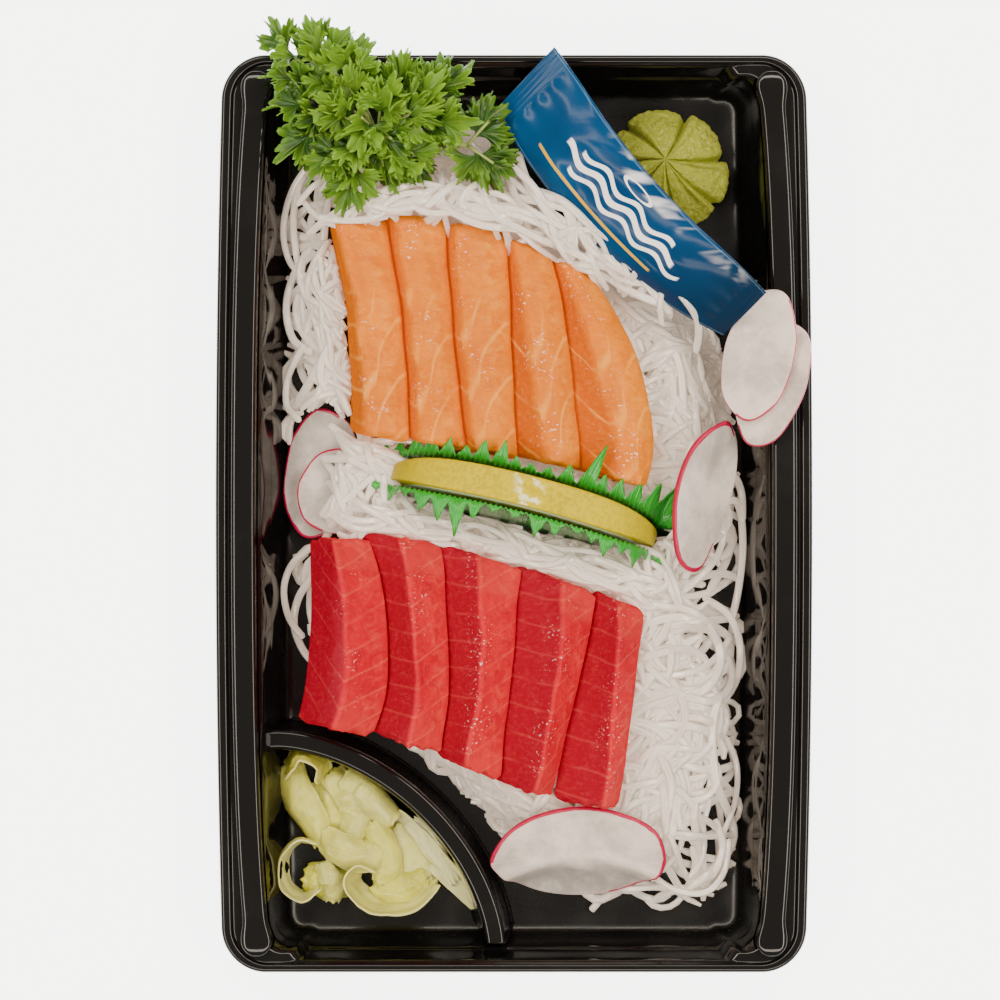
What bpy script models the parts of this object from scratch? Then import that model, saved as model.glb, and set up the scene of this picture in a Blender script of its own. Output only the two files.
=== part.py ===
# Sashimi tray: a black takeaway tray with two corner pockets, packed with salmon, tuna,
# shredded daikon, lemon, radish, ginger, wasabi, parsley and a sauce packet.
# Sizes are in millimetres and become metres when a mesh is made.
# The origin is the middle of the flat base, +Y runs along the tray, +Z is up.

import math
import random

import bmesh
import bpy
from mathutils import Matrix, Vector
from mathutils.bvhtree import BVHTree

MM = 0.001
GAP = 0.4                 # clearance left between neighbours

# Tray
HALF_LENGTH = 108.0
HALF_WIDTH = 70.3         # at the middle of the long sides
SIDE_BOW = 1.7            # how far the long sides curve in towards the ends
SHELL = 0.7
RIM_Z = 21.0
LEDGE_Z = 20.1
RAIL_Z = 22.6
RIDGE_Z = 12.0
FLOOR_Z = SHELL

# Each row is one line of the tray's upper skin, from the lip down to the floor:
# inset of the long side, inset of the short side, corner radius, height,
# then inset and height where the short side's panel is set back.
SKIN = (
    (0.0, 0.0, 10.5, 19.2, 0.0, 19.2),
    (0.0, 0.0, 10.5, 20.4, 0.0, 20.4),
    (0.5, 0.5, 10.0, RIM_Z, 0.5, RIM_Z),
    (2.4, 1.8, 8.6, RIM_Z, 1.8, RIM_Z),
    (3.0, 2.4, 8.0, LEDGE_Z, 2.4, LEDGE_Z),
    (10.2, 5.4, 5.5, LEDGE_Z, 2.9, 19.7),
    (12.4, 6.2, 4.8, 11.2, 4.0, 11.3),
    (12.6, 6.4, 4.7, 10.6, 4.8, 10.8),
    (14.6, 7.4, 4.2, 2.6, 6.6, 2.6),
    (15.4, 8.2, 3.8, 1.2, 7.4, 1.2),
    (17.0, 9.8, 3.0, FLOOR_Z, 9.0, FLOOR_Z),
)
END_STATIONS = (1.0, 0.965, 0.92, 0.5, 0.0, -0.5, -0.92, -0.965)
PANEL_EDGE = 0.93
SIDE_SEGMENTS = 8
CORNER_SEGMENTS = 4

RAIL_INSET = 6.6          # rail's middle line, from the rim's edge
RAIL_END_INSET = 8.3
RAIL_HALF = 3.0
KNOB_RADIUS = 3.9
KNOB_Y = 100.3

RIDGE_CENTRE = (-56.2, -104.0)
RIDGE_REACH = (52.0, 50.2)
RIDGE_POWER = 1.75
RIDGE_BASE = 3.7
RIDGE_TOP = 2.3

# Slices of fish lie like fallen dominoes, leaning to +X. Each row: far end, near end, slant of
# each end, then the top's left edge and right edge at the far end, the middle and the near end.
SALMON = dict(
    name="salmon", top=(27.5, 29.0, 26.0), drop=4.6, depth=16.0,
    first_lean=(0.14, 0.22, 0.28), last_lean=(0.4, 0.45, 0.45),
    colour=(0.93, 0.32, 0.06),
    rows=((68.0, 18.4, (0.02, -0.2), (-41.6, -36.2, -34.6), (-28.9, -25.3, -23.4)),
          (68.8, 16.6, (-0.05, -0.2), (-28.1, -24.1, -21.8), (-14.9, -13.5, -10.2)),
          (66.4, 14.2, (-0.1, -0.2), (-13.8, -12.1, -8.2), (-1.0, 0.7, 2.5)),
          (61.8, 11.4, (-0.35, -0.25), (0.0, 4.6, 9.0), (8.9, 14.8, 17.0)),
          (57.4, 7.4, (-0.2, -0.25), (11.4, 21.2, 26.2), (17.2, 31.4, 32.4))),
)
TUNA = dict(
    name="tuna", top=(26.5, 28.2, 27.0), drop=7.4, depth=15.0,
    first_lean=(0.45, 0.8, 0.85), last_lean=(0.9, 0.9, 0.9),
    colour=(0.62, 0.035, 0.035),
    rows=((-7.0, -50.8, (0.0, -0.2), (-42.6, -39.1, -42.0), (-33.0, -28.6, -31.4)),
          (-7.4, -54.6, (-0.15, -0.3), (-26.4, -23.0, -24.2), (-16.2, -14.4, -15.8)),
          (-12.6, -60.4, (-0.3, -0.4), (-8.2, -7.7, -11.8), (3.2, 0.8, -1.9)),
          (-18.4, -65.4, (-0.35, -0.25), (12.0, 10.0, 5.0), (21.0, 15.9, 10.2)),
          (-23.0, -68.3, (-0.4, -0.12), (25.0, 23.6, 21.4), (31.9, 28.9, 25.6))),
)
SLICE_SECTIONS = 8

# Lemon: half a round slice, standing on its cut side and leaning to +Y
LEMON_MIDDLE = (2.0, 0.9)
LEMON_HEADING = math.radians(-14.2)
LEMON_HALF = 32.6
LEMON_HEIGHT = 24.0
LEMON_THICK = 7.3
LEMON_BASE_Z = 10.0
LEMON_LEAN = math.radians(11.0)

# Plastic grass: one film folded up round the lemon
GRASS_THICK = 0.35
GRASS_SPIKES = 13
GRASS_HALF = 35.0

# Radish: name, middle, half length, half width, heading, roll about the length, pitch, bend
RADISH_THICK = 1.3
RADISHES = (
    ("radish_1", (-46.0, 9.4, 6.4), 15.6, 10.0, 83, -21, 0, 0.4),
    ("radish_2", (-42.4, 5.2, 10.9), 10.2, 10.0, 72, -22, 2, 0.4),
    ("radish_3", (57.2, 37.0, 27.0), 15.8, 8.2, 76, -4, -3, -0.6),
    ("radish_4", (60.6, 30.2, 25.0), 15.2, 7.6, 70, -4, -1.5, -0.5),
    ("radish_5", (44.6, 4.4, 21.6), 18.2, 9.0, 76, 44, 0, 0.8),
    ("radish_6", (15.6, -80.4, 15.0), 20.8, 12.6, 1, 30, 0, 1.4),
)

WASABI_MIDDLE = (35.9, 84.0)
WASABI_RADIUS = 14.0
WASABI_HEIGHT = 14.0
# each petal's first direction in degrees, and its reach at the first and the last side
WASABI_PETALS = ((2, 1.03, 0.92), (64, 0.85, 0.92), (138, 0.90, 0.90), (184, 0.95, 0.98),
                 (232, 1.00, 1.08), (281, 1.13, 1.17), (319, 1.20, 1.06))

# Sauce packet: a puffed pillow with flat crimped ends
PACKET_START = (2.6, 101.6, 27.2)
PACKET_END = (53.4, 46.2, 31.6)
PACKET_DIP = 2.6
PACKET_BOW = 4.2                           # how far its middle bends to the left
PACKET_HALVES = (10.6, 10.6, 9.2)          # half width at the start, middle and end
PACKET_PUFF = 4.8
PACKET_ROLLS = (-28.0, -12.0, -46.0)       # degrees, the left edge hangs lower

# Parsley: cores (middle, half sizes), then leaves as x, y, z, heading, pitch, length
PARSLEY_CORES = (
    ((-33.0, 91.0, 28.0), (14.0, 9.0, 3.8)),
    ((-46.5, 100.0, 27.0), (6.0, 6.5, 2.8)),
    ((-18.0, 87.6, 28.0), (12.0, 1.7, 1.6)),
)
PARSLEY_LEAVES = (
    (-49, 103, 27, 130, 5, 13), (-46, 104, 28, 94, 6, 13), (-43, 102, 27.5, 62, 6, 13),
    (-49, 99, 26.5, 180, 2, 11), (-43, 90, 27.5, 200, 0, 13), (-41, 87, 28.5, 235, 0, 12),
    (-36, 87, 28.8, 256, 6, 16), (-30, 87, 28.8, 290, 4, 12), (-27, 96, 28.5, 74, 4, 12),
    (-22, 94, 28.5, 30, 4, 12), (-22, 90, 28, 345, 0, 11), (-9.4, 87.4, 28, 52, 3, 11),
    (-9.4, 87.4, 28, 316, 0, 12), (-33, 92, 30.0, 40, 26, 11),
)

# Ginger: core, then curled sheets as x, y, z, heading, radius, arc, width
GINGER_CORE = ((-36.5, -79.0, 5.3), (11.5, 10.0, 3.8))
GINGER_CURLS = (
    (-47.5, -65.5, 5.8, 30, 4.0, 230, 9), (-42.5, -73.5, 1.5, 60, 10.0, 90, 13),
    (-32.5, -71.5, 7.6, -36, 3.8, 200, 13), (-48.5, -83.0, 6.0, 62, 4.2, 220, 9),
    (-41.0, -87.0, 6.0, 8, 4.0, 210, 12), (-27.5, -86.5, 6.6, -12, 4.8, 230, 13),
    (-24.5, -82.0, 2.8, -50, 7.0, 100, 13),
)


# ---------------------------------------------------------------- helpers

def make_collection(name):
    collection = bpy.data.collections.new(name)
    bpy.context.scene.collection.children.link(collection)
    return collection


def make_material(name, colour, roughness):
    material = bpy.data.materials.new(name)
    material.use_nodes = True
    shader = material.node_tree.nodes["Principled BSDF"]
    shader.inputs["Base Color"].default_value = (*colour, 1.0)
    shader.inputs["Roughness"].default_value = roughness
    shader.inputs["Metallic"].default_value = 0.0
    return material


def add_object(name, bm, collection, material=None):
    """Scale a millimetre mesh to metres and put it in the collection."""
    bmesh.ops.scale(bm, vec=(MM, MM, MM), verts=bm.verts)
    mesh = bpy.data.meshes.new(name)
    bm.to_mesh(mesh)
    bm.free()
    mesh.shade_smooth()
    mesh.set_sharp_from_angle(angle=math.radians(40))
    piece = bpy.data.objects.new(name, mesh)
    collection.objects.link(piece)
    if material:
        mesh.materials.append(material)
    else:
        piece.display_type = "WIRE"
        piece.hide_render = True
    return piece


def loft(rings, closed_ends=True):
    """Join rings of equal length into a tube, with flat ends, faces outward."""
    bm = bmesh.new()
    rows = [[bm.verts.new(point) for point in ring] for ring in rings]
    count = len(rings[0])
    for low, high in zip(rows, rows[1:]):
        for i in range(count):
            j = (i + 1) % count
            bm.faces.new((low[i], low[j], high[j], high[i]))
    if closed_ends:
        bm.faces.new(list(reversed(rows[0])))
        bm.faces.new(rows[-1])
    bmesh.ops.recalc_face_normals(bm, faces=bm.faces)
    return bm


def blend3(triple, t):
    """Curve through three values at t = 0, 0.5 and 1."""
    start, middle, end = triple
    return start * (1 - t) * (1 - 2 * t) + 4 * middle * t * (1 - t) + end * t * (2 * t - 1)


def apply_modifiers(piece):
    graph = bpy.context.evaluated_depsgraph_get()
    mesh = bpy.data.meshes.new_from_object(piece.evaluated_get(graph))
    piece.modifiers.clear()
    piece.data = mesh


def tree_of(pieces):
    """One search tree, in millimetres, over several finished pieces."""
    verts, faces = [], []
    for piece in pieces:
        start = len(verts)
        verts += [vertex.co / MM for vertex in piece.data.vertices]
        faces += [[start + i for i in face.vertices] for face in piece.data.polygons]
    return BVHTree.FromPolygons(verts, faces)


# ---------------------------------------------------------------- tray

def half_width(y):
    return HALF_WIDTH - SIDE_BOW * (y / HALF_LENGTH) ** 2


def skin_ring(row):
    side, end, radius, z, panel_end, panel_z = row
    wide = HALF_WIDTH - side
    long = HALF_LENGTH - end
    ring = []
    for sx, sy in ((1, -1), (1, 1), (-1, 1), (-1, -1)):
        turn = {(1, -1): -90, (1, 1): 0, (-1, 1): 90, (-1, -1): 180}[(sx, sy)]
        for i in range(CORNER_SEGMENTS + 1):
            angle = math.radians(turn + 90 * i / CORNER_SEGMENTS)
            ring.append((sx * (wide - radius) + radius * math.cos(angle),
                         sy * (long - radius) + radius * math.sin(angle), z))
        if sx == -sy:
            for i in range(1, SIDE_SEGMENTS):
                y = -sy * (long - radius) * (2 * i / SIDE_SEGMENTS - 1)
                ring.append((sx * wide, y, z))
        else:
            for station in END_STATIONS[1:]:
                x = sx * (wide - radius) * station
                set_back = abs(station) < PANEL_EDGE
                ring.append((x, sy * (HALF_LENGTH - (panel_end if set_back else end)),
                             panel_z if set_back else z))
    return [(x * half_width(y) / HALF_WIDTH, y, z) for x, y, z in ring]


def rail_section(side, y, half, base, top, shrink=1.0):
    along = min(abs(y) / KNOB_Y, 1.0)
    inset = RAIL_INSET + (RAIL_END_INSET - RAIL_INSET) * along ** 4
    middle = side * (half_width(min(abs(y), KNOB_Y)) - inset)
    shoulder = min(0.8, half * 0.4)
    top = base + (top - base) * shrink
    points = ((-half - 0.3, base), (-half, base + 0.7), (-half + 0.15, top - shoulder),
              (-half + shoulder, top), (half - shoulder, top), (half - 0.15, top - shoulder),
              (half, base + 0.7), (half + 0.3, base))
    return [(middle + u, y, z) for u, z in points]


def rail(side, inset, base, top):
    """A long rounded bar with a round knob at each end."""
    stations = [(KNOB_Y + KNOB_RADIUS * math.sin(a), KNOB_RADIUS * math.cos(a), math.cos(a) ** 0.3)
                for a in (1.3, 0.9, 0.45, 0.0)]
    stations += [(KNOB_Y - 3.6, RAIL_HALF + 0.25, 1.0)]
    stations += [(KNOB_Y * f, RAIL_HALF, 1.0) for f in (0.86, 0.6, 0.3, 0.0)]
    stations += [(-y, half, shrink) for y, half, shrink in reversed(stations[:-1])]
    rings = [rail_section(side, y - math.copysign(inset, y) * (shrink < 1), half - inset, base, top,
                          shrink) for y, half, shrink in stations]
    return loft(rings)


def ridge_line(t):
    """Point and direction along the pocket wall's curve, t from 0 at the side to 1 at the end."""
    angle = math.radians(-4 + 98 * t)
    c, s = math.cos(angle), math.sin(angle)
    reach_x, reach_y = RIDGE_REACH
    power = 2.0 / RIDGE_POWER
    x = reach_x * math.copysign(abs(s) ** power, s)
    y = reach_y * math.copysign(abs(c) ** power, c)
    return Vector((RIDGE_CENTRE[0] + x, RIDGE_CENTRE[1] + y, 0.0))


def ridge(turned, inset, base, top):
    steps = 14
    sign = -1 if turned else 1
    points = [ridge_line(i / steps) for i in range(steps + 1)]
    points[0] -= Vector((4.0, 0.0, 0.0))
    points[-1] -= Vector((0.0, 4.0, 0.0))
    rings = []
    for i, point in enumerate(points):
        ahead = points[min(i + 1, steps)] - points[max(i - 1, 0)]
        across = Vector((-ahead.y, ahead.x, 0.0)).normalized()
        wide, narrow = RIDGE_BASE - inset, RIDGE_TOP - inset
        profile = ((-wide, base), (-narrow - 0.3, top - 1.0), (-narrow + 0.5, top),
                   (narrow - 0.5, top), (narrow + 0.3, top - 1.0), (wide, base))
        rings.append([sign * (point + across * u) + Vector((0, 0, z)) for u, z in profile])
    return loft(rings)


def build_tray(parts, cutters, material):
    rings = [skin_ring(row) for row in SKIN]
    bm = loft(rings, closed_ends=False)
    floor = [v for v in bm.verts if abs(v.co.z - FLOOR_Z) < 1e-6]
    edges = [e for e in bm.edges if all(v in floor for v in e.verts) and e.is_boundary]
    bmesh.ops.edgeloop_fill(bm, edges=edges)
    bmesh.ops.recalc_face_normals(bm, faces=bm.faces)
    if min(bm.faces, key=lambda f: f.calc_center_median().z).normal.z < 0:
        bmesh.ops.reverse_faces(bm, faces=bm.faces)
    tray = add_object("tray", bm, parts, material)
    wall = tray.modifiers.new("Wall", "SOLIDIFY")
    wall.thickness = SHELL * MM
    wall.offset = -1.0
    wall.use_even_offset = True

    # the pocket walls end inside the tray's own wall
    inside = [[(x * (1 + 0.35 / HALF_WIDTH), y * (1 + 0.35 / HALF_LENGTH), z - 0.3)
               for x, y, z in ring] for ring in rings[4:]]
    pan = add_object("pan_block", loft(inside), cutters)
    added = make_collection("raised_forms")
    channels = make_collection("hollows")
    for i, side in enumerate((-1, 1)):
        add_object(f"rail_{i}", rail(side, 0.0, LEDGE_Z - 0.35, RAIL_Z), added)
        add_object(f"rail_hollow_{i}", rail(side, SHELL, LEDGE_Z - 2.0, RAIL_Z - SHELL), channels)
        pocket = add_object(f"ridge_{i}", ridge(side > 0, 0.0, FLOOR_Z - 0.3, RIDGE_Z), added)
        trim = pocket.modifiers.new("Trim", "BOOLEAN")
        trim.operation = "INTERSECT"
        trim.object = pan
        apply_modifiers(pocket)
        add_object(f"ridge_hollow_{i}", ridge(side > 0, SHELL, -1.0, RIDGE_Z - SHELL), channels)
    for operation, collection in (("UNION", added), ("DIFFERENCE", channels)):
        step = tray.modifiers.new(operation.title(), "BOOLEAN")
        step.operation = operation
        step.operand_type = "COLLECTION"
        step.collection = collection
    apply_modifiers(tray)
    for collection in (added, channels):
        for piece in list(collection.objects):
            bpy.data.objects.remove(piece)
        bpy.data.collections.remove(collection)
    bpy.data.objects.remove(pan)
    return tray


# ---------------------------------------------------------------- fish

def line_at(row, triple, y):
    far, near = row[0], row[1]
    return blend3(triple, min(max((far - y) / (far - near), -0.2), 1.2))


def lean_between(fish, i, y):
    """Sideways slope of the face between slice i - 1 and slice i."""
    rows = fish["rows"]
    if i == 0:
        return line_at(rows[0], fish["first_lean"], y)
    if i == len(rows):
        return line_at(rows[-1], fish["last_lean"], y)
    left, right = rows[i - 1], rows[i]
    strip = line_at(right, right[3], y) - line_at(left, left[4], y)
    rise = line_at(right, fish["top"], y) - line_at(left, fish["top"], y) + fish["drop"]
    return max(strip, 0.4) / rise


def slice_corner(fish, i, y, right, low):
    """One corner of a slice's leaning section, at the given place along it."""
    row = fish["rows"][i]
    lean = lean_between(fish, i + right, y)
    x = line_at(row, row[4] if right else row[3], y) - (GAP * (1 + lean) if right else 0.0)
    z = line_at(row, fish["top"], y) - (fish["drop"] if right else 0.0)
    if low:
        scale = fish["depth"] / math.hypot(1.0, lean)
        x, z = x - lean * scale, z - scale
    return x, z


def slice_section(fish, i, y):
    """Top left, top right, bottom right and bottom left, on a cut that is slanted in plan."""
    row = fish["rows"][i]
    middle = (line_at(row, row[3], y) + line_at(row, row[4], y)) / 2
    slant = row[2][0] + (row[2][1] - row[2][0]) * (row[0] - y) / (row[0] - row[1])
    corners = []
    for right, low in ((False, False), (True, False), (True, True), (False, True)):
        place = y
        for _ in range(3):
            x, z = slice_corner(fish, i, place, right, low)
            place = y + slant * (x - middle)
        corners.append(Vector((x, place, z)))
    return corners


def round_corners(corners, radii, segments):
    points = []
    count = len(corners)
    for i, corner in enumerate(corners):
        before = (corners[i - 1] - corner)
        after = (corners[(i + 1) % count] - corner)
        a = corner + before.normalized() * min(radii[i], before.length * 0.45)
        b = corner + after.normalized() * min(radii[i], after.length * 0.45)
        for k in range(segments[i] + 1):
            t = k / segments[i]
            points.append(a * (1 - t) ** 2 + corner * 2 * t * (1 - t) + b * t * t)
    return points


def fish_slice(fish, i):
    far, near = fish["rows"][i][:2]
    rings = []
    for k in range(SLICE_SECTIONS + 1):
        ring = slice_section(fish, i, far + (near - far) * k / SLICE_SECTIONS)
        at_end = k in (0, SLICE_SECTIONS)
        middle = sum(ring, Vector()) / 4
        ring = [middle + (point - middle) * (0.86 if at_end else 1.0) for point in ring]
        ring = round_corners(ring, (1.6, 1.4, 1.0, 1.0), (2, 2, 1, 1))
        if at_end:
            outward = Vector((0, 0.9 if k == 0 else -0.9, 0))
            ring = [point + outward for point in ring]
        rings.append(ring)
    return loft(rings)


# ---------------------------------------------------------------- lemon and grass

def lemon_frame():
    turn = Matrix.Rotation(LEMON_HEADING, 4, "Z")
    lean = Matrix.Rotation(-LEMON_LEAN, 4, "X")
    return Matrix.Translation((*LEMON_MIDDLE, LEMON_BASE_Z)) @ turn @ lean


def lemon_half_thick(x):
    return LEMON_THICK / 2 * (1 - 0.5 * abs(x / LEMON_HALF) ** 5)


def build_lemon():
    """Half-round slice: outline in local X and Z, thickness along local Y."""
    steps = 16
    outline = [(-LEMON_HALF + 1.0, 0.0)]
    outline += [(-LEMON_HALF * math.cos(math.pi * i / steps),
                 LEMON_HEIGHT * math.sin(math.pi * i / steps) ** 0.85 + 0.8)
                for i in range(steps + 1)]
    outline += [(LEMON_HALF - 1.0, 0.0)]
    rings = []
    for side, inset in ((-1.0, 0.7), (-0.8, 0.0), (0.8, 0.0), (1.0, 0.7)):
        rings.append([(x * (1 - inset / LEMON_HALF), side * lemon_half_thick(x),
                       z * (1 - inset / LEMON_HEIGHT) + inset * 0.3) for x, z in outline])
    bm = loft(rings)
    bmesh.ops.transform(bm, matrix=lemon_frame(), verts=bm.verts)
    return bm


def build_grass():
    """Film up both sides of the lemon, spiked along both top edges."""
    frame = lemon_frame()
    columns = 2 * GRASS_SPIKES
    rows = []
    for k in range(columns + 1):
        x = -GRASS_HALF + 2 * GRASS_HALF * k / columns
        tip = k % 2
        half = lemon_half_thick(min(abs(x), LEMON_HALF))
        arch = math.sqrt(max(1 - (x / 46.0) ** 2, 0.0))
        back, front = 18.0 * arch, 18.5 * arch
        rows.append([
            (x, half + 2.2 + 2.6 * tip, back + 5.0 * tip),
            (x, half + 1.3, back * 0.6),
            (x, half + 0.8, -0.8),
            (x, -half - 0.8, -0.8),
            (x, -half - 1.0, front),
            (x, -half - 1.8 - 4.0 * tip, front + 0.4 - 1.6 * tip)])
    bm = bmesh.new()
    grid = [[bm.verts.new(frame @ Vector(p)) for p in row] for row in rows]
    for a, b in zip(grid, grid[1:]):
        for i in range(len(a) - 1):
            bm.faces.new((a[i], a[i + 1], b[i + 1], b[i]))
    bmesh.ops.triangulate(bm, faces=bm.faces)
    bmesh.ops.solidify(bm, geom=bm.faces, thickness=GRASS_THICK)
    bmesh.ops.recalc_face_normals(bm, faces=bm.faces)
    return bm


# ---------------------------------------------------------------- radish, wasabi, packet

def radish(middle, half_long, half_wide, heading, roll, pitch, bend):
    segments = 14
    half = RADISH_THICK / 2
    levels = ((0.5, half), (0.94, half), (1.0, 0.0), (0.94, -half), (0.5, -half))
    rings = []
    for scale, z in levels:
        ring = []
        for i in range(segments):
            angle = math.tau * i / segments
            x, y = scale * math.cos(angle), scale * math.sin(angle)
            curl = bend * (x * x * 2.0 - 0.5) + 0.35 * bend * math.sin(3 * angle) * scale
            ring.append((x * half_long, y * half_wide, z + curl))
        rings.append(ring)
    bm = loft(rings)
    bmesh.ops.transform(bm, matrix=place_at(*middle, heading, pitch, roll), verts=bm.verts)
    return bm


def build_wasabi():
    """Piped rosette: petals that rise to a ridge and drop into a groove, turned round the middle."""
    levels = ((0.84, 0.0), (1.0, 0.26), (0.98, 0.50), (0.84, 0.74), (0.55, 0.92), (0.24, 1.0))
    shares = ((0.0, 0.86, 0.80), (0.12, 0.97, 0.88), (0.45, 1.0, 0.93), (0.80, 1.0, 1.0), (0.93, 0.97, 0.98))
    rings = []
    for wide, high in levels:
        ring = []
        for k, (start, first, last) in enumerate(WASABI_PETALS):
            span = (WASABI_PETALS[(k + 1) % len(WASABI_PETALS)][0] - start) % 360
            for f, out, up in shares:
                radius = WASABI_RADIUS * wide * (first + (last - first) * f) * out
                turn = math.radians(start + span * f)
                ring.append((WASABI_MIDDLE[0] + radius * math.cos(turn),
                             WASABI_MIDDLE[1] + radius * math.sin(turn),
                             FLOOR_Z + GAP + WASABI_HEIGHT * high * up))
        rings.append(ring)
    return loft(rings)


def build_packet():
    """Lens-shaped sections along the packet, flat and wide at the crimps."""
    start, end = Vector(PACKET_START), Vector(PACKET_END)
    along = (end - start).normalized()
    across = along.cross(Vector((0, 0, 1))).normalized()
    up = across.cross(along)
    rings = []
    stations = 12
    for k in range(stations + 1):
        t = k / stations
        fill = max(0.0, min((t - 0.09) / 0.2, (0.91 - t) / 0.2, 1.0))
        fill = fill * fill * (3 - 2 * fill)
        roll = math.radians(blend3(PACKET_ROLLS, t))
        side = across * math.cos(roll) + up * math.sin(roll)
        high = up * math.cos(roll) - across * math.sin(roll)
        wide = blend3(PACKET_HALVES, t)
        thick = 0.35 + PACKET_PUFF * fill
        bent = math.sin(math.pi * t)
        middle = start.lerp(end, t) - up * (PACKET_DIP * bent) + across * (PACKET_BOW * bent)
        ring = []
        for i in range(12):
            angle = math.tau * i / 12
            c, s = math.cos(angle), math.sin(angle)
            ring.append(middle + side * wide * c + high * thick * math.copysign(abs(s) ** 1.3, s))
        rings.append(ring)
    return loft(rings)


# ---------------------------------------------------------------- leafy and heaped things

def thin_solid(rows, thick):
    """Closed sheet from a grid of points, both sides split into triangles alike."""
    count, width = len(rows), len(rows[0])
    normals = []
    for i in range(count):
        line = []
        for j in range(width):
            down = rows[min(i + 1, count - 1)][j] - rows[max(i - 1, 0)][j]
            over = rows[i][min(j + 1, width - 1)] - rows[i][max(j - 1, 0)]
            line.append(down.cross(over).normalized())
        normals.append(line)
    bm = bmesh.new()
    sides = []
    for offset in (thick / 2, -thick / 2):
        sides.append([[bm.verts.new(rows[i][j] + normals[i][j] * offset) for j in range(width)]
                      for i in range(count)])
    for side in sides:
        for i in range(count - 1):
            for j in range(width - 1):
                bm.faces.new((side[i][j], side[i + 1][j], side[i + 1][j + 1]))
                bm.faces.new((side[i][j], side[i + 1][j + 1], side[i][j + 1]))
    border = [(0, j) for j in range(width)] + [(i, width - 1) for i in range(1, count)]
    border += [(count - 1, j) for j in range(width - 2, -1, -1)] + [(i, 0) for i in range(count - 2, 0, -1)]
    top, bottom = sides
    for (a, b), (c, d) in zip(border, border[1:] + border[:1]):
        bm.faces.new((top[a][b], top[c][d], bottom[c][d], bottom[a][b]))
    bmesh.ops.recalc_face_normals(bm, faces=bm.faces)
    return bm


def leaf(length, ruffle, phase, thick):
    """Fan-shaped thin leaf with three toothed lobes, opening along +X from its stalk."""
    teeth = (0.74, 0.9, 0.7, 0.94, 1.0, 0.94, 0.7, 0.9, 0.74)
    rows = []
    for reach in (0.12, 1.0):
        row = []
        for i, tooth in enumerate(teeth):
            side = 2 * i / (len(teeth) - 1) - 1
            angle = math.radians(60) * side
            radius = length * reach * (1 - (1 - tooth) * reach)
            wave = ruffle * reach * math.sin(2.6 * side + phase)
            row.append(Vector((radius * math.cos(angle), radius * math.sin(angle), wave)))
        rows.append(row)
    return thin_solid(rows, thick)


def curl(radius, arc, width, thick):
    """Thin sheet bent round an axis along +X, open at the bottom."""
    rows = []
    for i in range(7):
        angle = math.radians(90 - arc / 2 + arc * i / 6)
        tight = radius * (1 - 0.25 * i / 6)
        rows.append([Vector((width * (j / 2 - 0.5) * (1 - 0.15 * abs(i / 3 - 1)),
                             tight * math.cos(angle), tight * math.sin(angle) + 0.25 * (j % 2)))
                     for j in range(3)])
    return thin_solid(rows, thick)


def blob(middle, size, bumps, seed, subdivisions=2):
    """Uneven rounded lump used as the core of a heap."""
    bm = bmesh.new()
    bmesh.ops.create_icosphere(bm, subdivisions=subdivisions, radius=1.0)
    chance = random.Random(seed)
    phases = [chance.uniform(0, math.tau) for _ in range(3)]
    for vertex in bm.verts:
        x, y, z = vertex.co
        swell = 1 + bumps * (math.sin(4 * x + phases[0]) + math.sin(4 * y + phases[1])
                             + math.sin(4 * z + phases[2])) / 3
        vertex.co = (middle[0] + x * size[0] * swell, middle[1] + y * size[1] * swell,
                     middle[2] + z * size[2] * swell)
    return bm


def fuse(piece, collection, solver="EXACT"):
    """Join every object of the collection to the piece, then drop them."""
    step = piece.modifiers.new("Fuse", "BOOLEAN")
    step.operation = "UNION"
    step.solver = solver
    step.operand_type = "COLLECTION"
    step.collection = collection
    apply_modifiers(piece)
    for other in list(collection.objects):
        bpy.data.objects.remove(other)
    bpy.data.collections.remove(collection)
    keep_largest(piece)
    return piece


def keep_largest(piece):
    """Fill sealed hollows and drop loose scraps: only the biggest shell stays."""
    bm = bmesh.new()
    bm.from_mesh(piece.data)
    seen = set()
    shells = []
    for first in bm.verts:
        if first in seen:
            continue
        shell, stack = [], [first]
        seen.add(first)
        while stack:
            vertex = stack.pop()
            shell.append(vertex)
            for edge in vertex.link_edges:
                other = edge.other_vert(vertex)
                if other not in seen:
                    seen.add(other)
                    stack.append(other)
        shells.append(shell)
    shells.sort(key=len)
    for shell in shells[:-1]:
        bmesh.ops.delete(bm, geom=shell, context="VERTS")
    bm.to_mesh(piece.data)
    bm.free()


def place_at(x, y, z, heading, pitch=0.0, roll=0.0):
    return (Matrix.Translation((x, y, z)) @ Matrix.Rotation(math.radians(heading), 4, "Z")
            @ Matrix.Rotation(math.radians(-pitch), 4, "Y") @ Matrix.Rotation(math.radians(roll), 4, "X"))


def build_parsley(parts, material):
    middle, size = PARSLEY_CORES[0]
    piece = add_object("parsley", blob(middle, size, 0.2, 3, 1), parts, material)
    extra = make_collection("sprigs")
    for number, (middle, size) in enumerate(PARSLEY_CORES[1:]):
        add_object(f"sprig_{number}", blob(middle, size, 0.1, number, 1), extra)
    chance = random.Random(11)
    for number, (x, y, z, heading, pitch, length) in enumerate(PARSLEY_LEAVES):
        bm = leaf(length, 1.3, chance.uniform(0, 6), 0.8)
        turned = place_at(x, y, z, heading, pitch, chance.uniform(-18, 18))
        bmesh.ops.transform(bm, matrix=turned, verts=bm.verts)
        add_object(f"leaf_{number}", bm, extra)
    return fuse(piece, extra, "MANIFOLD")


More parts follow.
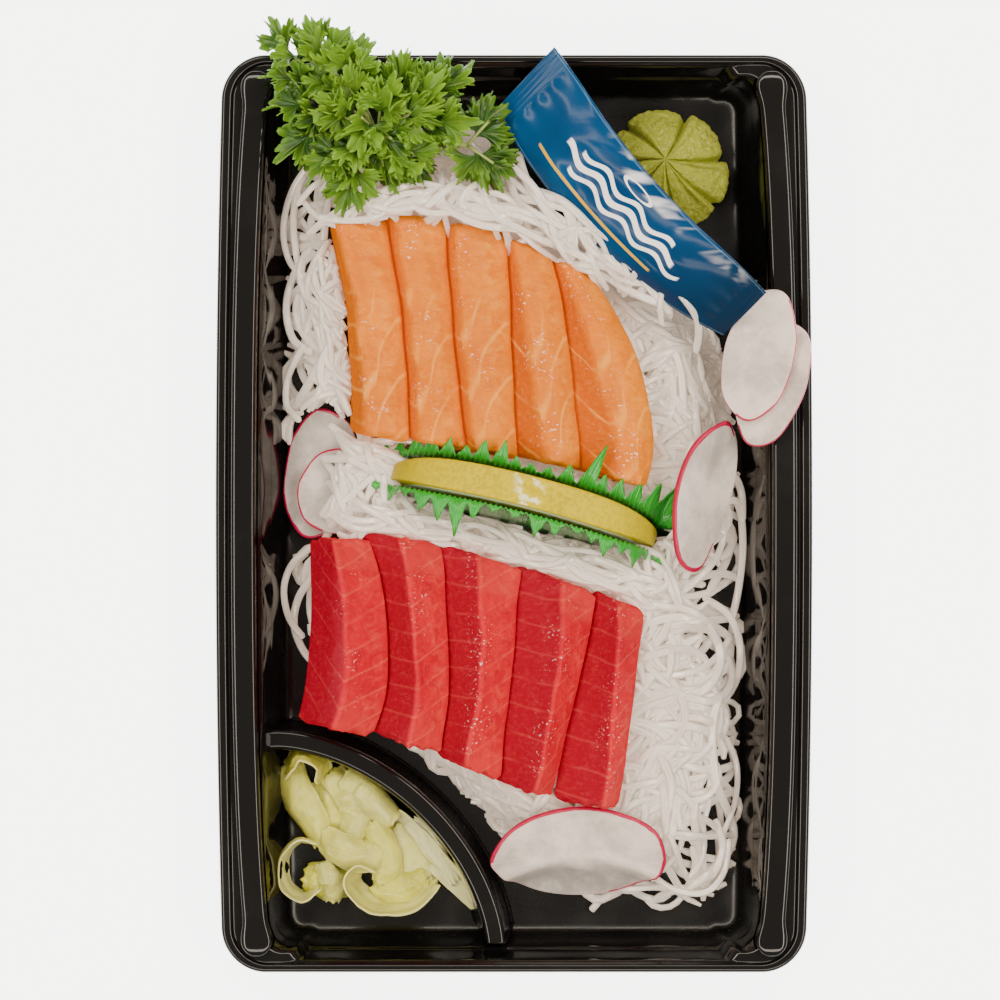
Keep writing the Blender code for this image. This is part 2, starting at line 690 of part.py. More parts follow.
def build_ginger(parts, material):
    piece = add_object("ginger", blob(*GINGER_CORE, 0.14, 5, 1), parts, material)
    curls = make_collection("curls")
    for number, (x, y, z, heading, radius, arc, width) in enumerate(GINGER_CURLS):
        bm = curl(radius, arc, width, 1.0)
        bmesh.ops.transform(bm, matrix=place_at(x, y, z, heading), verts=bm.verts)
        add_object(f"curl_{number}", bm, curls)
    return fuse(piece, curls, "MANIFOLD")


# ---------------------------------------------------------------- daikon

BED_OUTLINE = ((-50, 72), (-43, 82), (-26, 87), (-12, 91), (-1, 78), (15, 64), (33, 52), (46, 38),
               (50, 14), (50.5, -10), (51.5, -30), (50.5, -60), (49, -86), (38, -92), (22, -90),
               (5, -80), (-8, -66), (-24, -53), (-40, -36), (-49.5, -14), (-51.5, 14), (-51.5, 46))
BED_POINTS = 46
BED_RINGS = (1.0, 0.975, 0.9, 0.79, 0.67, 0.55, 0.43, 0.3, 0.14)
STRAND_RADIUS = 0.9
# start x and y, heading, length, total turn
STRANDS = (
    (-49, 78, 215, 48, 85), (-47, 70, 250, 56, -20), (-44, 82, 300, 40, -70), (-34, 80, 12, 44, -30),
    (-6, 82, 325, 44, 30), (16, 62, 315, 44, -20), (42, 40, 285, 46, -40), (40, 22, 250, 42, 60),
    (46, 4, 285, 40, -50), (44, -22, 262, 46, 50), (34, -44, 300, 44, -80), (45, -62, 265, 36, -80),
    (36, -76, 215, 30, 120), (24, -72, 330, 34, -60), (-18, -3, 340, 40, 30), (-46, -12, 262, 30, 40),
    (-12, -64, 330, 30, -50), (-46, 50, 262, 16, 20),
)


def smooth_closed(points, count):
    """Even points on a closed curve through the given corners."""
    total = len(points)
    out = []
    for k in range(count):
        f = k * total / count
        i, t = int(f), f - int(f)
        p = [Vector(points[(i + j - 1) % total]) for j in range(4)]
        out.append(0.5 * (2 * p[1] + (p[2] - p[0]) * t + (2 * p[0] - 5 * p[1] + 4 * p[2] - p[3]) * t * t
                          + (3 * p[1] - p[0] - 3 * p[2] + p[3]) * t ** 3))
    return out


def headroom(tree, x, y, reach):
    """Lowest underside above a spot, looking a little to all sides."""
    lowest = 60.0
    spots = [(0.0, 0.0)] + [(reach * r * math.cos(math.tau * i / 12), reach * r * math.sin(math.tau * i / 12))
                            for i in range(12) for r in (0.5, 1.0)]
    for dx, dy in spots:
        hit = tree.ray_cast(Vector((x + dx, y + dy, FLOOR_Z + 0.1)), Vector((0, 0, 1)))[0]
        if hit:
            lowest = min(lowest, hit.z)
    return lowest


def settle(tree, x, y, z, clear):
    """Lower a point until nothing is nearer to it than the given clearance."""
    while z > FLOOR_Z + 2.0 and tree.find_nearest(Vector((x, y, z)), clear)[0]:
        z -= 0.4
    return z


def bed_height(x, y):
    """Free height of the heap where nothing presses on it."""
    height = 15.0 + 1.4 * math.sin(x * 0.13 + 1.0) * math.cos(y * 0.11) + 0.9 * math.sin(x * 0.31 - y * 0.27)
    if y < -70:
        height -= (-70 - y) * 0.22
    return height


def keep_clear(x, y):
    """Move a strand's point off the tray's walls and pocket ridges."""
    side = half_width(y) - 17.0
    x = min(max(x, -side), side)
    y = min(max(y, -95.0), 95.0)
    for sign in (-1, 1):
        u = -sign * x - RIDGE_CENTRE[0]
        v = -sign * y - RIDGE_CENTRE[1]
        reach_x, reach_y = RIDGE_REACH[0] + 5.6, RIDGE_REACH[1] + 5.6
        inside = (abs(u) / reach_x) ** RIDGE_POWER + (abs(v) / reach_y) ** RIDGE_POWER
        if inside < 1.0:
            push = inside ** (-1 / RIDGE_POWER)
            x = -sign * (u * push + RIDGE_CENTRE[0])
            y = -sign * (v * push + RIDGE_CENTRE[1])
    return x, y


def build_daikon(parts, material, above):
    outline = smooth_closed(BED_OUTLINE, BED_POINTS)
    centre = Vector((0.0, -4.0))
    rings = [[(centre.x + (p.x - centre.x) * 0.97, centre.y + (p.y - centre.y) * 0.97, FLOOR_Z + GAP)
              for p in outline]]
    edge_drop = {1.0: 11.5, 0.975: 7.0, 0.9: 1.8}
    for scale in BED_RINGS:
        ring = []
        for p in outline:
            x = centre.x + (p.x - centre.x) * scale
            y = centre.y + (p.y - centre.y) * scale
            z = bed_height(x, y) - edge_drop.get(scale, 0.0)
            z = min(z, headroom(above, x, y, 6.4) - GAP - 0.6)
            ring.append((x, y, max(settle(above, x, y, z, 2.8), FLOOR_Z + GAP + 0.8)))
        rings.append(ring)
    core = add_object("daikon", loft(rings), parts, material)

    ground = tree_of([core])
    strands = make_collection("strands")
    for number, (x, y, heading, length, turn) in enumerate(STRANDS):
        steps = 7
        points = []
        for k in range(steps + 1):
            hit = ground.ray_cast(Vector((x, y, 60.0)), Vector((0, 0, -1)))[0]
            base = hit.z + 0.35 if hit else FLOOR_Z + GAP + STRAND_RADIUS
            roof = headroom(above, x, y, 5.0) - STRAND_RADIUS - GAP - 0.4
            z = settle(above, x, y, min(base, roof), 2.4)
            points.append((x * MM, y * MM, max(z, FLOOR_Z + GAP + STRAND_RADIUS) * MM))
            bearing = math.radians(heading + turn * k / steps)
            x += length / steps * math.cos(bearing)
            y += length / steps * math.sin(bearing)
            x, y = keep_clear(x, y)
        curve = bpy.data.curves.new("strand", "CURVE")
        curve.dimensions = "3D"
        curve.bevel_depth = STRAND_RADIUS * MM
        curve.bevel_resolution = 0
        curve.use_fill_caps = True
        spline = curve.splines.new("POLY")
        spline.points.add(len(points) - 1)
        for control, point in zip(spline.points, points):
            control.co = (*point, 1.0)
        tube = bpy.data.objects.new("strand", curve)
        parts.objects.link(tube)
        graph = bpy.context.evaluated_depsgraph_get()
        mesh = bpy.data.meshes.new_from_object(tube.evaluated_get(graph))
        bpy.data.objects.remove(tube)
        bm = bmesh.new()
        bm.from_mesh(mesh)
        bmesh.ops.remove_doubles(bm, verts=bm.verts, dist=1e-6)
        bmesh.ops.scale(bm, vec=(1 / MM, 1 / MM, 1 / MM), verts=bm.verts)
        add_object(f"strand_{number}", bm, strands)
    return fuse(core, strands, "MANIFOLD")


# ---------------------------------------------------------------- the whole thing

def main():
    for old in list(bpy.data.objects):
        bpy.data.objects.remove(old)
    parts = make_collection("sashimi_tray")
    cutters = make_collection("cutters")

    tray = build_tray(parts, cutters, make_material("black_plastic", (0.012, 0.012, 0.011), 0.12))
    above = []
    for fish, gloss in ((SALMON, 0.3), (TUNA, 0.3)):
        flesh = make_material(fish["name"] + "_flesh", fish["colour"], gloss)
        for i in range(len(fish["rows"])):
            above.append(add_object(f"{fish['name']}_{i + 1}", fish_slice(fish, i), parts, flesh))
    above.append(add_object("lemon", build_lemon(), parts, make_material("lemon", (0.85, 0.67, 0.04), 0.4)))
    above.append(add_object("grass", build_grass(), parts, make_material("grass", (0.05, 0.30, 0.04), 0.3)))
    white = make_material("radish", (0.86, 0.78, 0.76), 0.35)
    for name, *shape in RADISHES:
        above.append(add_object(name, radish(*shape), parts, white))
    add_object("wasabi", build_wasabi(), parts, make_material("wasabi", (0.50, 0.46, 0.10), 0.7))
    above.append(add_object("packet", build_packet(), parts, make_material("packet", (0.02, 0.12, 0.25), 0.3)))
    above.append(build_parsley(parts, make_material("parsley", (0.16, 0.26, 0.03), 0.5)))
    build_ginger(parts, make_material("ginger", (0.80, 0.70, 0.30), 0.4))
    build_daikon(parts, make_material("daikon", (0.80, 0.77, 0.72), 0.35), tree_of(above))
    bpy.data.collections.remove(cutters)


main()
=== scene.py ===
# Sashimi tray: black plastic tray with salmon, tuna, shredded daikon, lemon, radish,
# pickled ginger, wasabi, parsley and a sauce packet.
# Numbers are in millimetres unless a line says otherwise; meshes are made in metres.
import math
import random

import bmesh
import bpy
import numpy as np
from mathutils import Matrix, Vector, noise
from mathutils.bvhtree import BVHTree


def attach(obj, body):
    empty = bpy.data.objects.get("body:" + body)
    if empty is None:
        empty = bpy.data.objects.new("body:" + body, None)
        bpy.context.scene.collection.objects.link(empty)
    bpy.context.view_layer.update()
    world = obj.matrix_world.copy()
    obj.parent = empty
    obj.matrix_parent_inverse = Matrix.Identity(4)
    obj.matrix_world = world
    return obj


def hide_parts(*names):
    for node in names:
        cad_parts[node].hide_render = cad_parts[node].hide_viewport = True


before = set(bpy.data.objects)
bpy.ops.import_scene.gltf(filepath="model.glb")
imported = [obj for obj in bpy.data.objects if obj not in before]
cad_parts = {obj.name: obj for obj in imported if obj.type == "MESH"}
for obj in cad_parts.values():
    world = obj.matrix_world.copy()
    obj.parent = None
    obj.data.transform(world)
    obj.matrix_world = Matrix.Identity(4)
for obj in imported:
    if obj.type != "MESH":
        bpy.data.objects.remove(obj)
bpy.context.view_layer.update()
mm = 0.001
finished = {}  # name: piece, CAD nodes it stands for, material slot


def smooth(low, high, value):
    t = np.clip((value - low) / (high - low), 0.0, 1.0)
    return t * t * (3 - 2 * t)


def threeWay(triple, t):  # curve through three values at t = 0, 0.5 and 1
    start, middle, end = triple
    return start * (1 - t) * (1 - 2 * t) + 4 * middle * t * (1 - t) + end * t * (2 * t - 1)


def throughPoints(points, count, closed=False):  # smooth line through a few points
    points = [Vector(point) for point in points]
    total = len(points) if closed else len(points) - 1
    line = []
    for k in range(count):
        place = k * total / (count if closed else count - 1)
        i = min(int(place), total - 1)
        t = place - i
        if closed:
            a, b, c, d = (points[(i + j - 1) % total] for j in range(4))
        else:
            a, b, c, d = (points[min(max(i + j - 1, 0), total)] for j in range(4))
        line.append(0.5 * (2 * b + (c - a) * t + (2 * a - 5 * b + 4 * c - d) * t * t
                           + (3 * b - a - 3 * c + d) * t ** 3))
    return line


def mix(start, end, share):
    return start + (end - start) * share


def uneven(x, y, z):
    return noise.noise(Vector((x, y, z)))


def placed(x, y, z, heading, pitch=0.0, roll=0.0):  # a place, then turns in degrees
    place = Matrix.Translation((x, y, z))
    for angle, axis in ((heading, "Z"), (-pitch, "Y"), (roll, "X")):
        place = place @ Matrix.Rotation(math.radians(angle), 4, axis)
    return place


def rolled(across, up, degrees):  # both directions turned about the way ahead
    c, s = math.cos(math.radians(degrees)), math.sin(math.radians(degrees))
    return across * c + up * s, up * c - across * s


def gridFaces(rows, columns, wrap=False):  # quads of a grid of points, row after row
    i, j = np.meshgrid(np.arange(rows - 1), np.arange(columns if wrap else columns - 1), indexing="ij")
    k = (j + 1) % columns
    return np.stack([i * columns + j, i * columns + k, (i + 1) * columns + k, (i + 1) * columns + j],
                    axis=-1).reshape(-1, 4)


def makeMesh(name, points, faces, attributes=None):
    mesh = bpy.data.meshes.new(name)
    points = np.asarray(points, dtype=float).reshape(-1, 3) * mm
    mesh.from_pydata(points.tolist(), [], [list(face) for face in faces])
    for key, values in (attributes or {}).items():
        values = np.asarray(values, dtype=np.float32)
        if values.ndim == 1:
            mesh.attributes.new(key, "FLOAT", "POINT").data.foreach_set("value", values)
        else:
            mesh.attributes.new(key, "FLOAT_VECTOR", "POINT").data.foreach_set("vector", values.ravel())
    bm = bmesh.new()
    bm.from_mesh(mesh)
    bmesh.ops.recalc_face_normals(bm, faces=bm.faces)
    bm.to_mesh(mesh)
    bm.free()
    mesh.shade_smooth()
    return mesh


def addPiece(name, mesh, material, node, slot=None):
    piece = bpy.data.objects.new(name, mesh)
    bpy.context.scene.collection.objects.link(piece)
    if material:
        mesh.materials.clear()
        mesh.materials.append(material)
    finished[name] = (piece, node, slot or node)
    return piece


def bake(piece):  # modifiers become plain mesh
    graph = bpy.context.evaluated_depsgraph_get()
    mesh = bpy.data.meshes.new_from_object(piece.evaluated_get(graph))
    piece.modifiers.clear()
    piece.data = mesh
    mesh.shade_smooth()


def thicken(piece, thickness, offset=0.0, even=False):
    step = piece.modifiers.new("Thickness", "SOLIDIFY")
    step.thickness = thickness * mm
    step.offset = offset
    step.use_even_offset = even
    bake(piece)


def treeOf(meshes):  # search tree in millimetres
    points, faces = [], []
    for mesh in meshes:
        start = len(points)
        points += [vertex.co / mm for vertex in mesh.vertices]
        faces += [[start + i for i in face.vertices] for face in mesh.polygons]
    return BVHTree.FromPolygons(points, faces)


def capped(rings):  # points and faces of rings, both ends closed by a fan
    rings = np.asarray(rings, dtype=float)
    count, around = rings.shape[:2]
    points = np.concatenate([rings.reshape(-1, 3), rings[:1].mean(axis=1), rings[-1:].mean(axis=1)])
    faces = [list(face) for face in gridFaces(count, around, True)]
    first, last = count * around, count * around + 1
    for i in range(around):
        j = (i + 1) % around
        faces.append([first, j, i])
        faces.append([last, (count - 1) * around + i, (count - 1) * around + j])
    return points, faces


class Gathering:  # several small meshes joined into one
    def __init__(self):
        self.points, self.faces, self.labels, self.total = [], [], {}, 0

    def add(self, points, faces, **labels):
        points = np.asarray(points, dtype=float).reshape(-1, 3)
        self.points.append(points)
        self.faces += [[self.total + k for k in face] for face in faces]
        self.total += len(points)
        for key, values in labels.items():
            values = np.asarray(values, dtype=float)
            if values.ndim == 0:
                values = np.full(len(points), float(values))
            self.labels.setdefault(key, []).append(values)

    def mesh(self, name):
        labels = {key: np.concatenate(values) for key, values in self.labels.items()}
        return makeMesh(name, np.concatenate(self.points), self.faces, labels)


def shader(name, **values):
    material = bpy.data.materials.new(name)
    material.use_nodes = True
    body = material.node_tree.nodes["Principled BSDF"]
    unusual = dict(ior="IOR", specularLevel="Specular IOR Level")
    for key, value in values.items():
        join(value, body.inputs[unusual.get(key) or socketName(key)])
    return material, material.node_tree, body


def join(value, socket):  # a number, a colour or a wire into a socket
    value = getattr(value, "socket", value)
    if isinstance(value, bpy.types.NodeSocket):
        socket.id_data.links.new(value, socket)
    else:
        socket.default_value = (*value, 1.0) if socket.type == "RGBA" else value


def put(tree, kind, inputs=None, **settings):
    made = tree.nodes.new(kind)
    for key, value in settings.items():
        setattr(made, key, value)
    for key, value in (inputs or {}).items():
        join(value, made.inputs[key])
    return made


class Wire:  # what comes out of a node, so that masks are added and multiplied as plain numbers are
    def __init__(self, socket):
        self.socket = socket
        self.tree = socket.id_data

    def __abs__(self):
        return calc("ABSOLUTE", self)


def calc(operation, a, b=0.0):
    tree = a.tree if isinstance(a, Wire) else b.tree
    return wire(tree, "ShaderNodeMath", 0, {0: a, 1: b}, operation=operation)


signs = dict(add="ADD", sub="SUBTRACT", mul="MULTIPLY", truediv="DIVIDE", pow="POWER")
for sign, operation in signs.items():
    setattr(Wire, f"__{sign}__", lambda a, b, operation=operation: calc(operation, a, b))
    setattr(Wire, f"__r{sign}__", lambda a, b, operation=operation: calc(operation, b, a))


def wire(tree, kind, output, inputs=None, **settings):
    return Wire(put(tree, kind, inputs, **settings).outputs[output])


def soften(value, low, high, first=0.0, last=1.0):  # first below low, last above high
    limits = {"From Min": low, "From Max": high, "To Min": first, "To Max": last}
    return wire(value.tree, "ShaderNodeMapRange", "Result", {"Value": value, **limits},
                interpolation_type="SMOOTHSTEP")


def blend(factor, first, second):
    return wire(factor.tree, "ShaderNodeMix", 2, {0: factor, 6: first, 7: second}, data_type="RGBA")


def objectCoords(tree):
    return wire(tree, "ShaderNodeTexCoord", "Object")


def mapped(vector, **inputs):
    inputs = {key.capitalize(): value for key, value in inputs.items()}
    return wire(vector.tree, "ShaderNodeMapping", "Vector", {"Vector": vector, **inputs})


def apart(vector):  # x, y and z
    made = put(vector.tree, "ShaderNodeSeparateXYZ", {0: vector})
    return [Wire(socket) for socket in made.outputs]


def grain(tree, scale, detail=3.0, roughness=0.55, vector=None, stretch=None, distortion=0.0):
    # noise over the piece's own coordinates, scale in cycles a metre
    vector = vector or objectCoords(tree)
    if stretch:
        vector = mapped(vector, scale=stretch)
    return wire(tree, "ShaderNodeTexNoise", "Fac", {"Vector": vector, "Scale": scale, "Detail": detail,
                                                    "Roughness": roughness, "Distortion": distortion})


def relief(body, height, distance, strength=1.0, below=None):
    inputs = {"Height": height, "Distance": distance * mm, "Strength": strength}
    if below:
        inputs["Normal"] = below
    normal = wire(height.tree, "ShaderNodeBump", "Normal", inputs)
    join(normal, body.inputs["Normal"])
    return normal


def carried(tree, name):  # three parts and the plain value of an attribute on the mesh
    made = put(tree, "ShaderNodeAttribute", attribute_name=name)
    return apart(Wire(made.outputs["Vector"])) + [Wire(made.outputs["Fac"])]


def makeGroup(name, inputs, output):
    group = bpy.data.node_groups.new(name, "ShaderNodeTree")
    for key, value in inputs:
        group.interface.new_socket(key, in_out="INPUT",
                                   socket_type="NodeSocketFloat").default_value = value
    group.interface.new_socket(output, in_out="OUTPUT", socket_type="NodeSocketFloat")
    given = {socket.name: Wire(socket) for socket in group.nodes.new("NodeGroupInput").outputs}
    return group, given, group.nodes.new("NodeGroupOutput").inputs[output]


def socketName(key):  # camelCase to the words on a socket
    words = "".join(" " + letter if letter.isupper() else letter for letter in key)
    return words[0].upper() + words[1:]


def useGroup(tree, group, **inputs):
    made = put(tree, "ShaderNodeGroup", node_tree=group)
    for key, value in inputs.items():
        join(value, made.inputs[socketName(key)])
    return Wire(made.outputs[0])


def wetSpecks():  # mask of painted glints: tiny specks in clusters, standing in for light on wet flesh
    group, given, result = makeGroup("wetSpecks", (("Amount", 0.5), ("Size", 1600.0)), "Specks")
    squeezed = mapped(objectCoords(group), scale=(0.6, 1.0, 1.0))
    fine = wire(group, "ShaderNodeTexNoise", "Fac",
                {"Vector": squeezed, "Scale": given["Size"], "Detail": 2.0})
    clusters = soften(grain(group, 130.0, 3.0), 0.44, 0.66)
    join(soften(fine, 0.62, 0.7) * clusters * given["Amount"], result)
    return group


tray = dict(
    halfLength=108.0, halfWidth=70.3, sideBow=1.7, shell=0.7, ledge=20.1, railTop=22.6,
    # the shell from its outer edge down to its floor: side inset, end inset, corner radius, height,
    # then inset and height of the end's set-back middle
    rows=np.array((
        (0.0, 0.0, 10.5, 19.2, 0.0, 19.2), (0.0, 0.0, 10.5, 20.4, 0.0, 20.4),
        (0.5, 0.5, 10.0, 21.0, 0.5, 21.0), (2.4, 1.8, 8.6, 21.0, 1.8, 21.0),
        (3.0, 2.4, 8.0, 20.1, 2.4, 20.1), (10.2, 5.4, 5.5, 20.1, 2.9, 19.7),
        (12.4, 6.2, 4.8, 11.2, 4.0, 11.3), (12.6, 6.4, 4.7, 10.6, 4.8, 10.8),
        (14.6, 7.4, 4.2, 2.6, 6.6, 2.6), (15.4, 8.2, 3.8, 1.2, 7.4, 1.2),
        (17.0, 9.8, 3.0, 0.7, 9.0, 0.7))),
    rails=dict(inset=6.6, endInset=8.3, half=3.0, knob=3.9, knobY=100.3),
    ridges=dict(centre=(-56.2, -104.0), reach=(52.0, 50.2), power=1.75, base=3.7, top=2.3, height=12.0),
    black=(0.004, 0.004, 0.004), dusty=(0.009, 0.009, 0.009))


def halfWidth(y):
    return tray["halfWidth"] - tray["sideBow"] * (y / tray["halfLength"]) ** 2


def cutCorners(rows, share, times):  # round a line of rows by cutting its corners, keeping both ends
    for _ in range(times):
        a, b = rows[:-1], rows[1:]
        mixed = np.stack([a * (1 - share) + b * share, a * share + b * (1 - share)], axis=1)
        rows = np.concatenate([rows[:1], mixed.reshape(-1, rows.shape[1])[1:-1], rows[-1:]])
    return rows


def skinRing(row, corner=22, side=90, across=150):
    sideIn, endIn, radius, z, panelIn, panelZ = row
    wide = tray["halfWidth"] - sideIn
    long = tray["halfLength"] - endIn
    ring = []
    for sx, sy, start in ((1, -1, -90), (1, 1, 0), (-1, 1, 90), (-1, -1, 180)):
        for i in range(corner + 1):
            angle = math.radians(start + 90 * i / corner)
            ring.append((sx * (wide - radius) + radius * math.cos(angle),
                         sy * (long - radius) + radius * math.sin(angle), z))
        if sx == -sy:
            for i in range(1, side):
                ring.append((sx * wide, -sy * (long - radius) * (2 * i / side - 1), z))
        else:
            for i in range(1, across):
                station = 1 - 2 * i / across
                share = 1.0 - float(smooth(0.935, 0.972, abs(station)))
                y = tray["halfLength"] - mix(endIn, panelIn, share)
                ring.append((sx * (wide - radius) * station, sy * y, mix(z, panelZ, share)))
    return [(x * halfWidth(y) / tray["halfWidth"], y, z) for x, y, z in ring]


def wallInsets(z):  # insets of the wall's inner side at a height
    rows = tray["rows"][:4:-1]
    return np.interp(z, rows[:, 3], rows[:, 0]), np.interp(z, rows[:, 3], rows[:, 1])


def railRings(side):
    shape, rings = tray["rails"], []
    reach = shape["knobY"] + shape["knob"]
    stations = np.concatenate([reach - shape["knob"] * (1 - np.sin(np.linspace(1.57, 0, 14))),
                               np.linspace(shape["knobY"], 0, 90)[1:]])
    stations = np.concatenate([stations, -stations[::-1][1:]])
    low = tray["ledge"] - 0.3
    for y in stations:
        away = abs(y)
        inset = mix(shape["inset"], shape["endInset"], min(away / shape["knobY"], 1.0) ** 4)
        middle = side * (halfWidth(min(away, shape["knobY"])) - inset)
        rise = tray["railTop"] - low
        if away > shape["knobY"]:
            half = math.sqrt(max(shape["knob"] ** 2 - (away - shape["knobY"]) ** 2, 0.02))
            rise *= min(1.0, (half / shape["knob"]) ** 0.3)
        else:
            near = float(smooth(0.0, 5.2, away - shape["knobY"] + 5.2))
            half = mix(shape["half"], shape["knob"], near)
        rise -= 0.35 * math.exp(-((shape["knobY"] - 5.0 - away) / 1.2) ** 2)
        flare = min(0.35, half * 0.3)
        ring = [(middle - half - flare, y, low)]
        for k in range(21):
            angle = math.pi * (1 - k / 20)
            c, s = math.cos(angle), math.sin(angle)
            ring.append((middle + half * math.copysign(abs(c) ** 0.36, c), y, low + rise * s ** 0.42))
        ring.append((middle + half + flare, y, low))
        rings.append(ring)
    return rings


def ridgeRings(sign, steps=90):
    shape, line = tray["ridges"], []

    def along(value, k):  # a point on a rounded square
        bulge = math.copysign(abs(value) ** (2 / shape["power"]), value)
        return shape["centre"][k] + shape["reach"][k] * bulge

    for i in range(steps + 1):
        angle = math.radians(-4 + 98 * i / steps)
        line.append(Vector((along(math.sin(angle), 0), along(math.cos(angle), 1), 0.0)))
    line = [line[0] - Vector((4, 0, 0))] + line + [line[-1] - Vector((0, 4, 0))]
    base, top, height = shape["base"], shape["top"], shape["height"]
    half = np.array([(-base - 1.2, 0.0), (-base, 0.5), (-top - 0.3, height - 1.6), (-top + 0.3, height),
                     (0.0, height)])
    profile = np.concatenate([half, half[-2::-1] * (-1, 1)])
    profile = cutCorners(profile, 0.24, 3)
    rings = []
    for i, point in enumerate(line):
        ahead = line[min(i + 1, len(line) - 1)] - line[max(i - 1, 0)]
        across = Vector((-ahead.y, ahead.x, 0.0)).normalized()
        ring = []
        for u, z in profile:
            sideIn, endIn = wallInsets(z + 0.7)
            x, y = point.x + across.x * u, point.y + across.y * u
            y = max(y, -tray["halfLength"] + endIn - 0.3)
            x = max(x, -halfWidth(y) + sideIn - 0.3)
            ring.append((sign * x, sign * y, z + 0.66))
        rings.append(ring)
    return rings


def plasticMaterial():  # duller and a little dusty low down, wavy as pressed sheet is
    material, tree, body = shader("blackPlastic", ior=1.5, specularLevel=0.4)
    height = apart(objectCoords(tree))[2]
    dull = soften(height, 9.0 * mm, 3.0 * mm) * 0.2
    worn = soften(grain(tree, 90.0, 5.0, 0.6), 0.4, 0.8) * 0.1
    join(worn + dull + 0.055, body.inputs["Roughness"])
    film = soften(grain(tree, 35.0, 6.0, 0.65), 0.5, 0.8)
    join(blend(film, tray["black"], tray["dusty"]), body.inputs["Base Color"])
    wavy = relief(body, grain(tree, 55.0, 2.0, 0.4), 0.12, 0.7)
    relief(body, grain(tree, 900.0, 2.0, 0.5), 0.003, 0.4, wavy)
    return material


def buildTray():
    black = plasticMaterial()
    rings = np.array([skinRing(row) for row in cutCorners(tray["rows"], 0.22, 2)])
    count, around = rings.shape[:2]
    points = [rings.reshape(-1, 3)] + [rings[-1] * (share, share, 1.0) for share in (0.9, 0.6, 0.25)]
    faces = [list(face) for face in gridFaces(count + 3, around, True)]
    faces.append([(count + 2) * around + i for i in range(around)])
    mesh = makeMesh("traySkin", np.concatenate(points), faces)
    if sum(face.normal.z for face in mesh.polygons) < 0:
        mesh.flip_normals()
    thicken(addPiece("trayShell", mesh, black, "tray", "black_plastic"), tray["shell"], -1.0, True)
    for number, side in enumerate((-1, 1)):
        for name, rings in (("trayRail", railRings(side)), ("trayRidge", ridgeRings(-side))):
            name = f"{name}{number + 1}"
            addPiece(name, makeMesh(name, *capped(rings)), black, "tray", "black_plastic")


# rows of a slice: far y, near y, slants of its two cut ends, left edge and right edge of its top
# seams of a slice: phase, slope down its left face, spacing there
salmon = dict(
    name="salmon", slot="salmon_flesh", gap=0.4, top=(27.5, 29.0, 26.0), drop=4.6, depth=16.0,
    bulge=0.5, facet=0.0, firstLean=(0.14, 0.22, 0.28), lastLean=(0.4, 0.45, 0.45),
    radii=(3.2, 2.2, 1.0, 1.0), ragged=0.35, sway=1.1,
    seams=((1.5, 0.1, 7.6), (5.0, 0.3, 12.6), (1.8, 0.3, 12.6), (5.6, 0.55, 12.6), (9.5, 0.75, 12.6)),
    rows=((68.0, 18.4, (0.02, -0.2), (-41.6, -36.2, -34.6), (-28.9, -25.3, -23.4)),
          (68.8, 16.6, (-0.05, -0.2), (-28.1, -24.1, -21.8), (-14.9, -13.5, -10.2)),
          (66.4, 14.2, (-0.1, -0.2), (-13.8, -12.1, -8.2), (-1.0, 0.7, 2.5)),
          (61.8, 11.4, (-0.35, -0.25), (0.0, 4.6, 9.0), (8.9, 14.8, 17.0)),
          (57.4, 7.4, (-0.2, -0.25), (11.4, 21.2, 26.2), (17.2, 31.4, 32.4))),
    look=dict(
        depth=0.35, radius=(1.0, 0.32, 0.02), leftSeams=1.0, stray=0.5, spacing=12.6, rise=9.0,
        hook=8.0, width=0.8, starts=0.28, seamStrength=0.55, fibre=0.16, paleFar=0.0, paleNear=0.0,
        glints=0.9, ripple=(0.4, 1.0, 1.0), gapLight=0.22, glow=(1.0, 0.22, 0.0), shadow=0.4,
        top=(0.80, 0.235, 0.0), topDark=(0.68, 0.18, 0.0), side=(0.58, 0.11, 0.0),
        fat=(0.95, 0.46, 0.08), end=(0.85, 0.30, 0.03)))
tuna = dict(
    name="tuna", slot="tuna_flesh", gap=0.4, top=(26.5, 28.2, 27.0), drop=7.4, depth=15.0,
    bulge=0.15, facet=3.2, firstLean=(0.45, 0.8, 0.85), lastLean=(0.9, 0.9, 0.9),
    radii=(1.2, 0.9, 0.8, 0.8), ragged=0.9, sway=0.5,
    seams=((0.0, 0.75, 6.5), (2.0, 0.12, 6.5), (4.2, 0.05, 6.5), (1.0, 0.15, 6.5), (3.0, 0.2, 6.5)),
    rows=((-7.0, -50.8, (0.0, -0.2), (-42.6, -39.1, -42.0), (-33.0, -28.6, -31.4)),
          (-7.4, -54.6, (-0.15, -0.3), (-26.4, -23.0, -24.2), (-16.2, -14.4, -15.8)),
          (-12.6, -60.4, (-0.3, -0.4), (-8.2, -7.7, -11.8), (3.2, 0.8, -1.9)),
          (-18.4, -65.4, (-0.35, -0.25), (12.0, 10.0, 5.0), (21.0, 15.9, 10.2)),
          (-23.0, -68.3, (-0.4, -0.12), (25.0, 23.6, 21.4), (31.9, 28.9, 25.6))),
    look=dict(
        depth=0.3, radius=(1.0, 0.08, 0.06), leftSeams=0.55, stray=0.4, spacing=6.5, rise=5.4, hook=0.0,
        width=0.5, starts=-0.2, seamStrength=0.32, fibre=0.12, paleFar=0.35, paleNear=0.3, glints=0.6,
        ripple=(0.5, 0.8, 1.0), gapLight=0.2, glow=(0.7, 0.0, 0.02), shadow=0.35,
        top=(0.64, 0.014, 0.024), topDark=(0.52, 0.003, 0.018), side=(0.32, 0.002, 0.018),
        fat=(0.80, 0.13, 0.09), end=(0.62, 0.06, 0.05)))


def lineAt(row, triple, y):
    return threeWay(triple, min(max((row[0] - y) / (row[0] - row[1]), -0.2), 1.2))


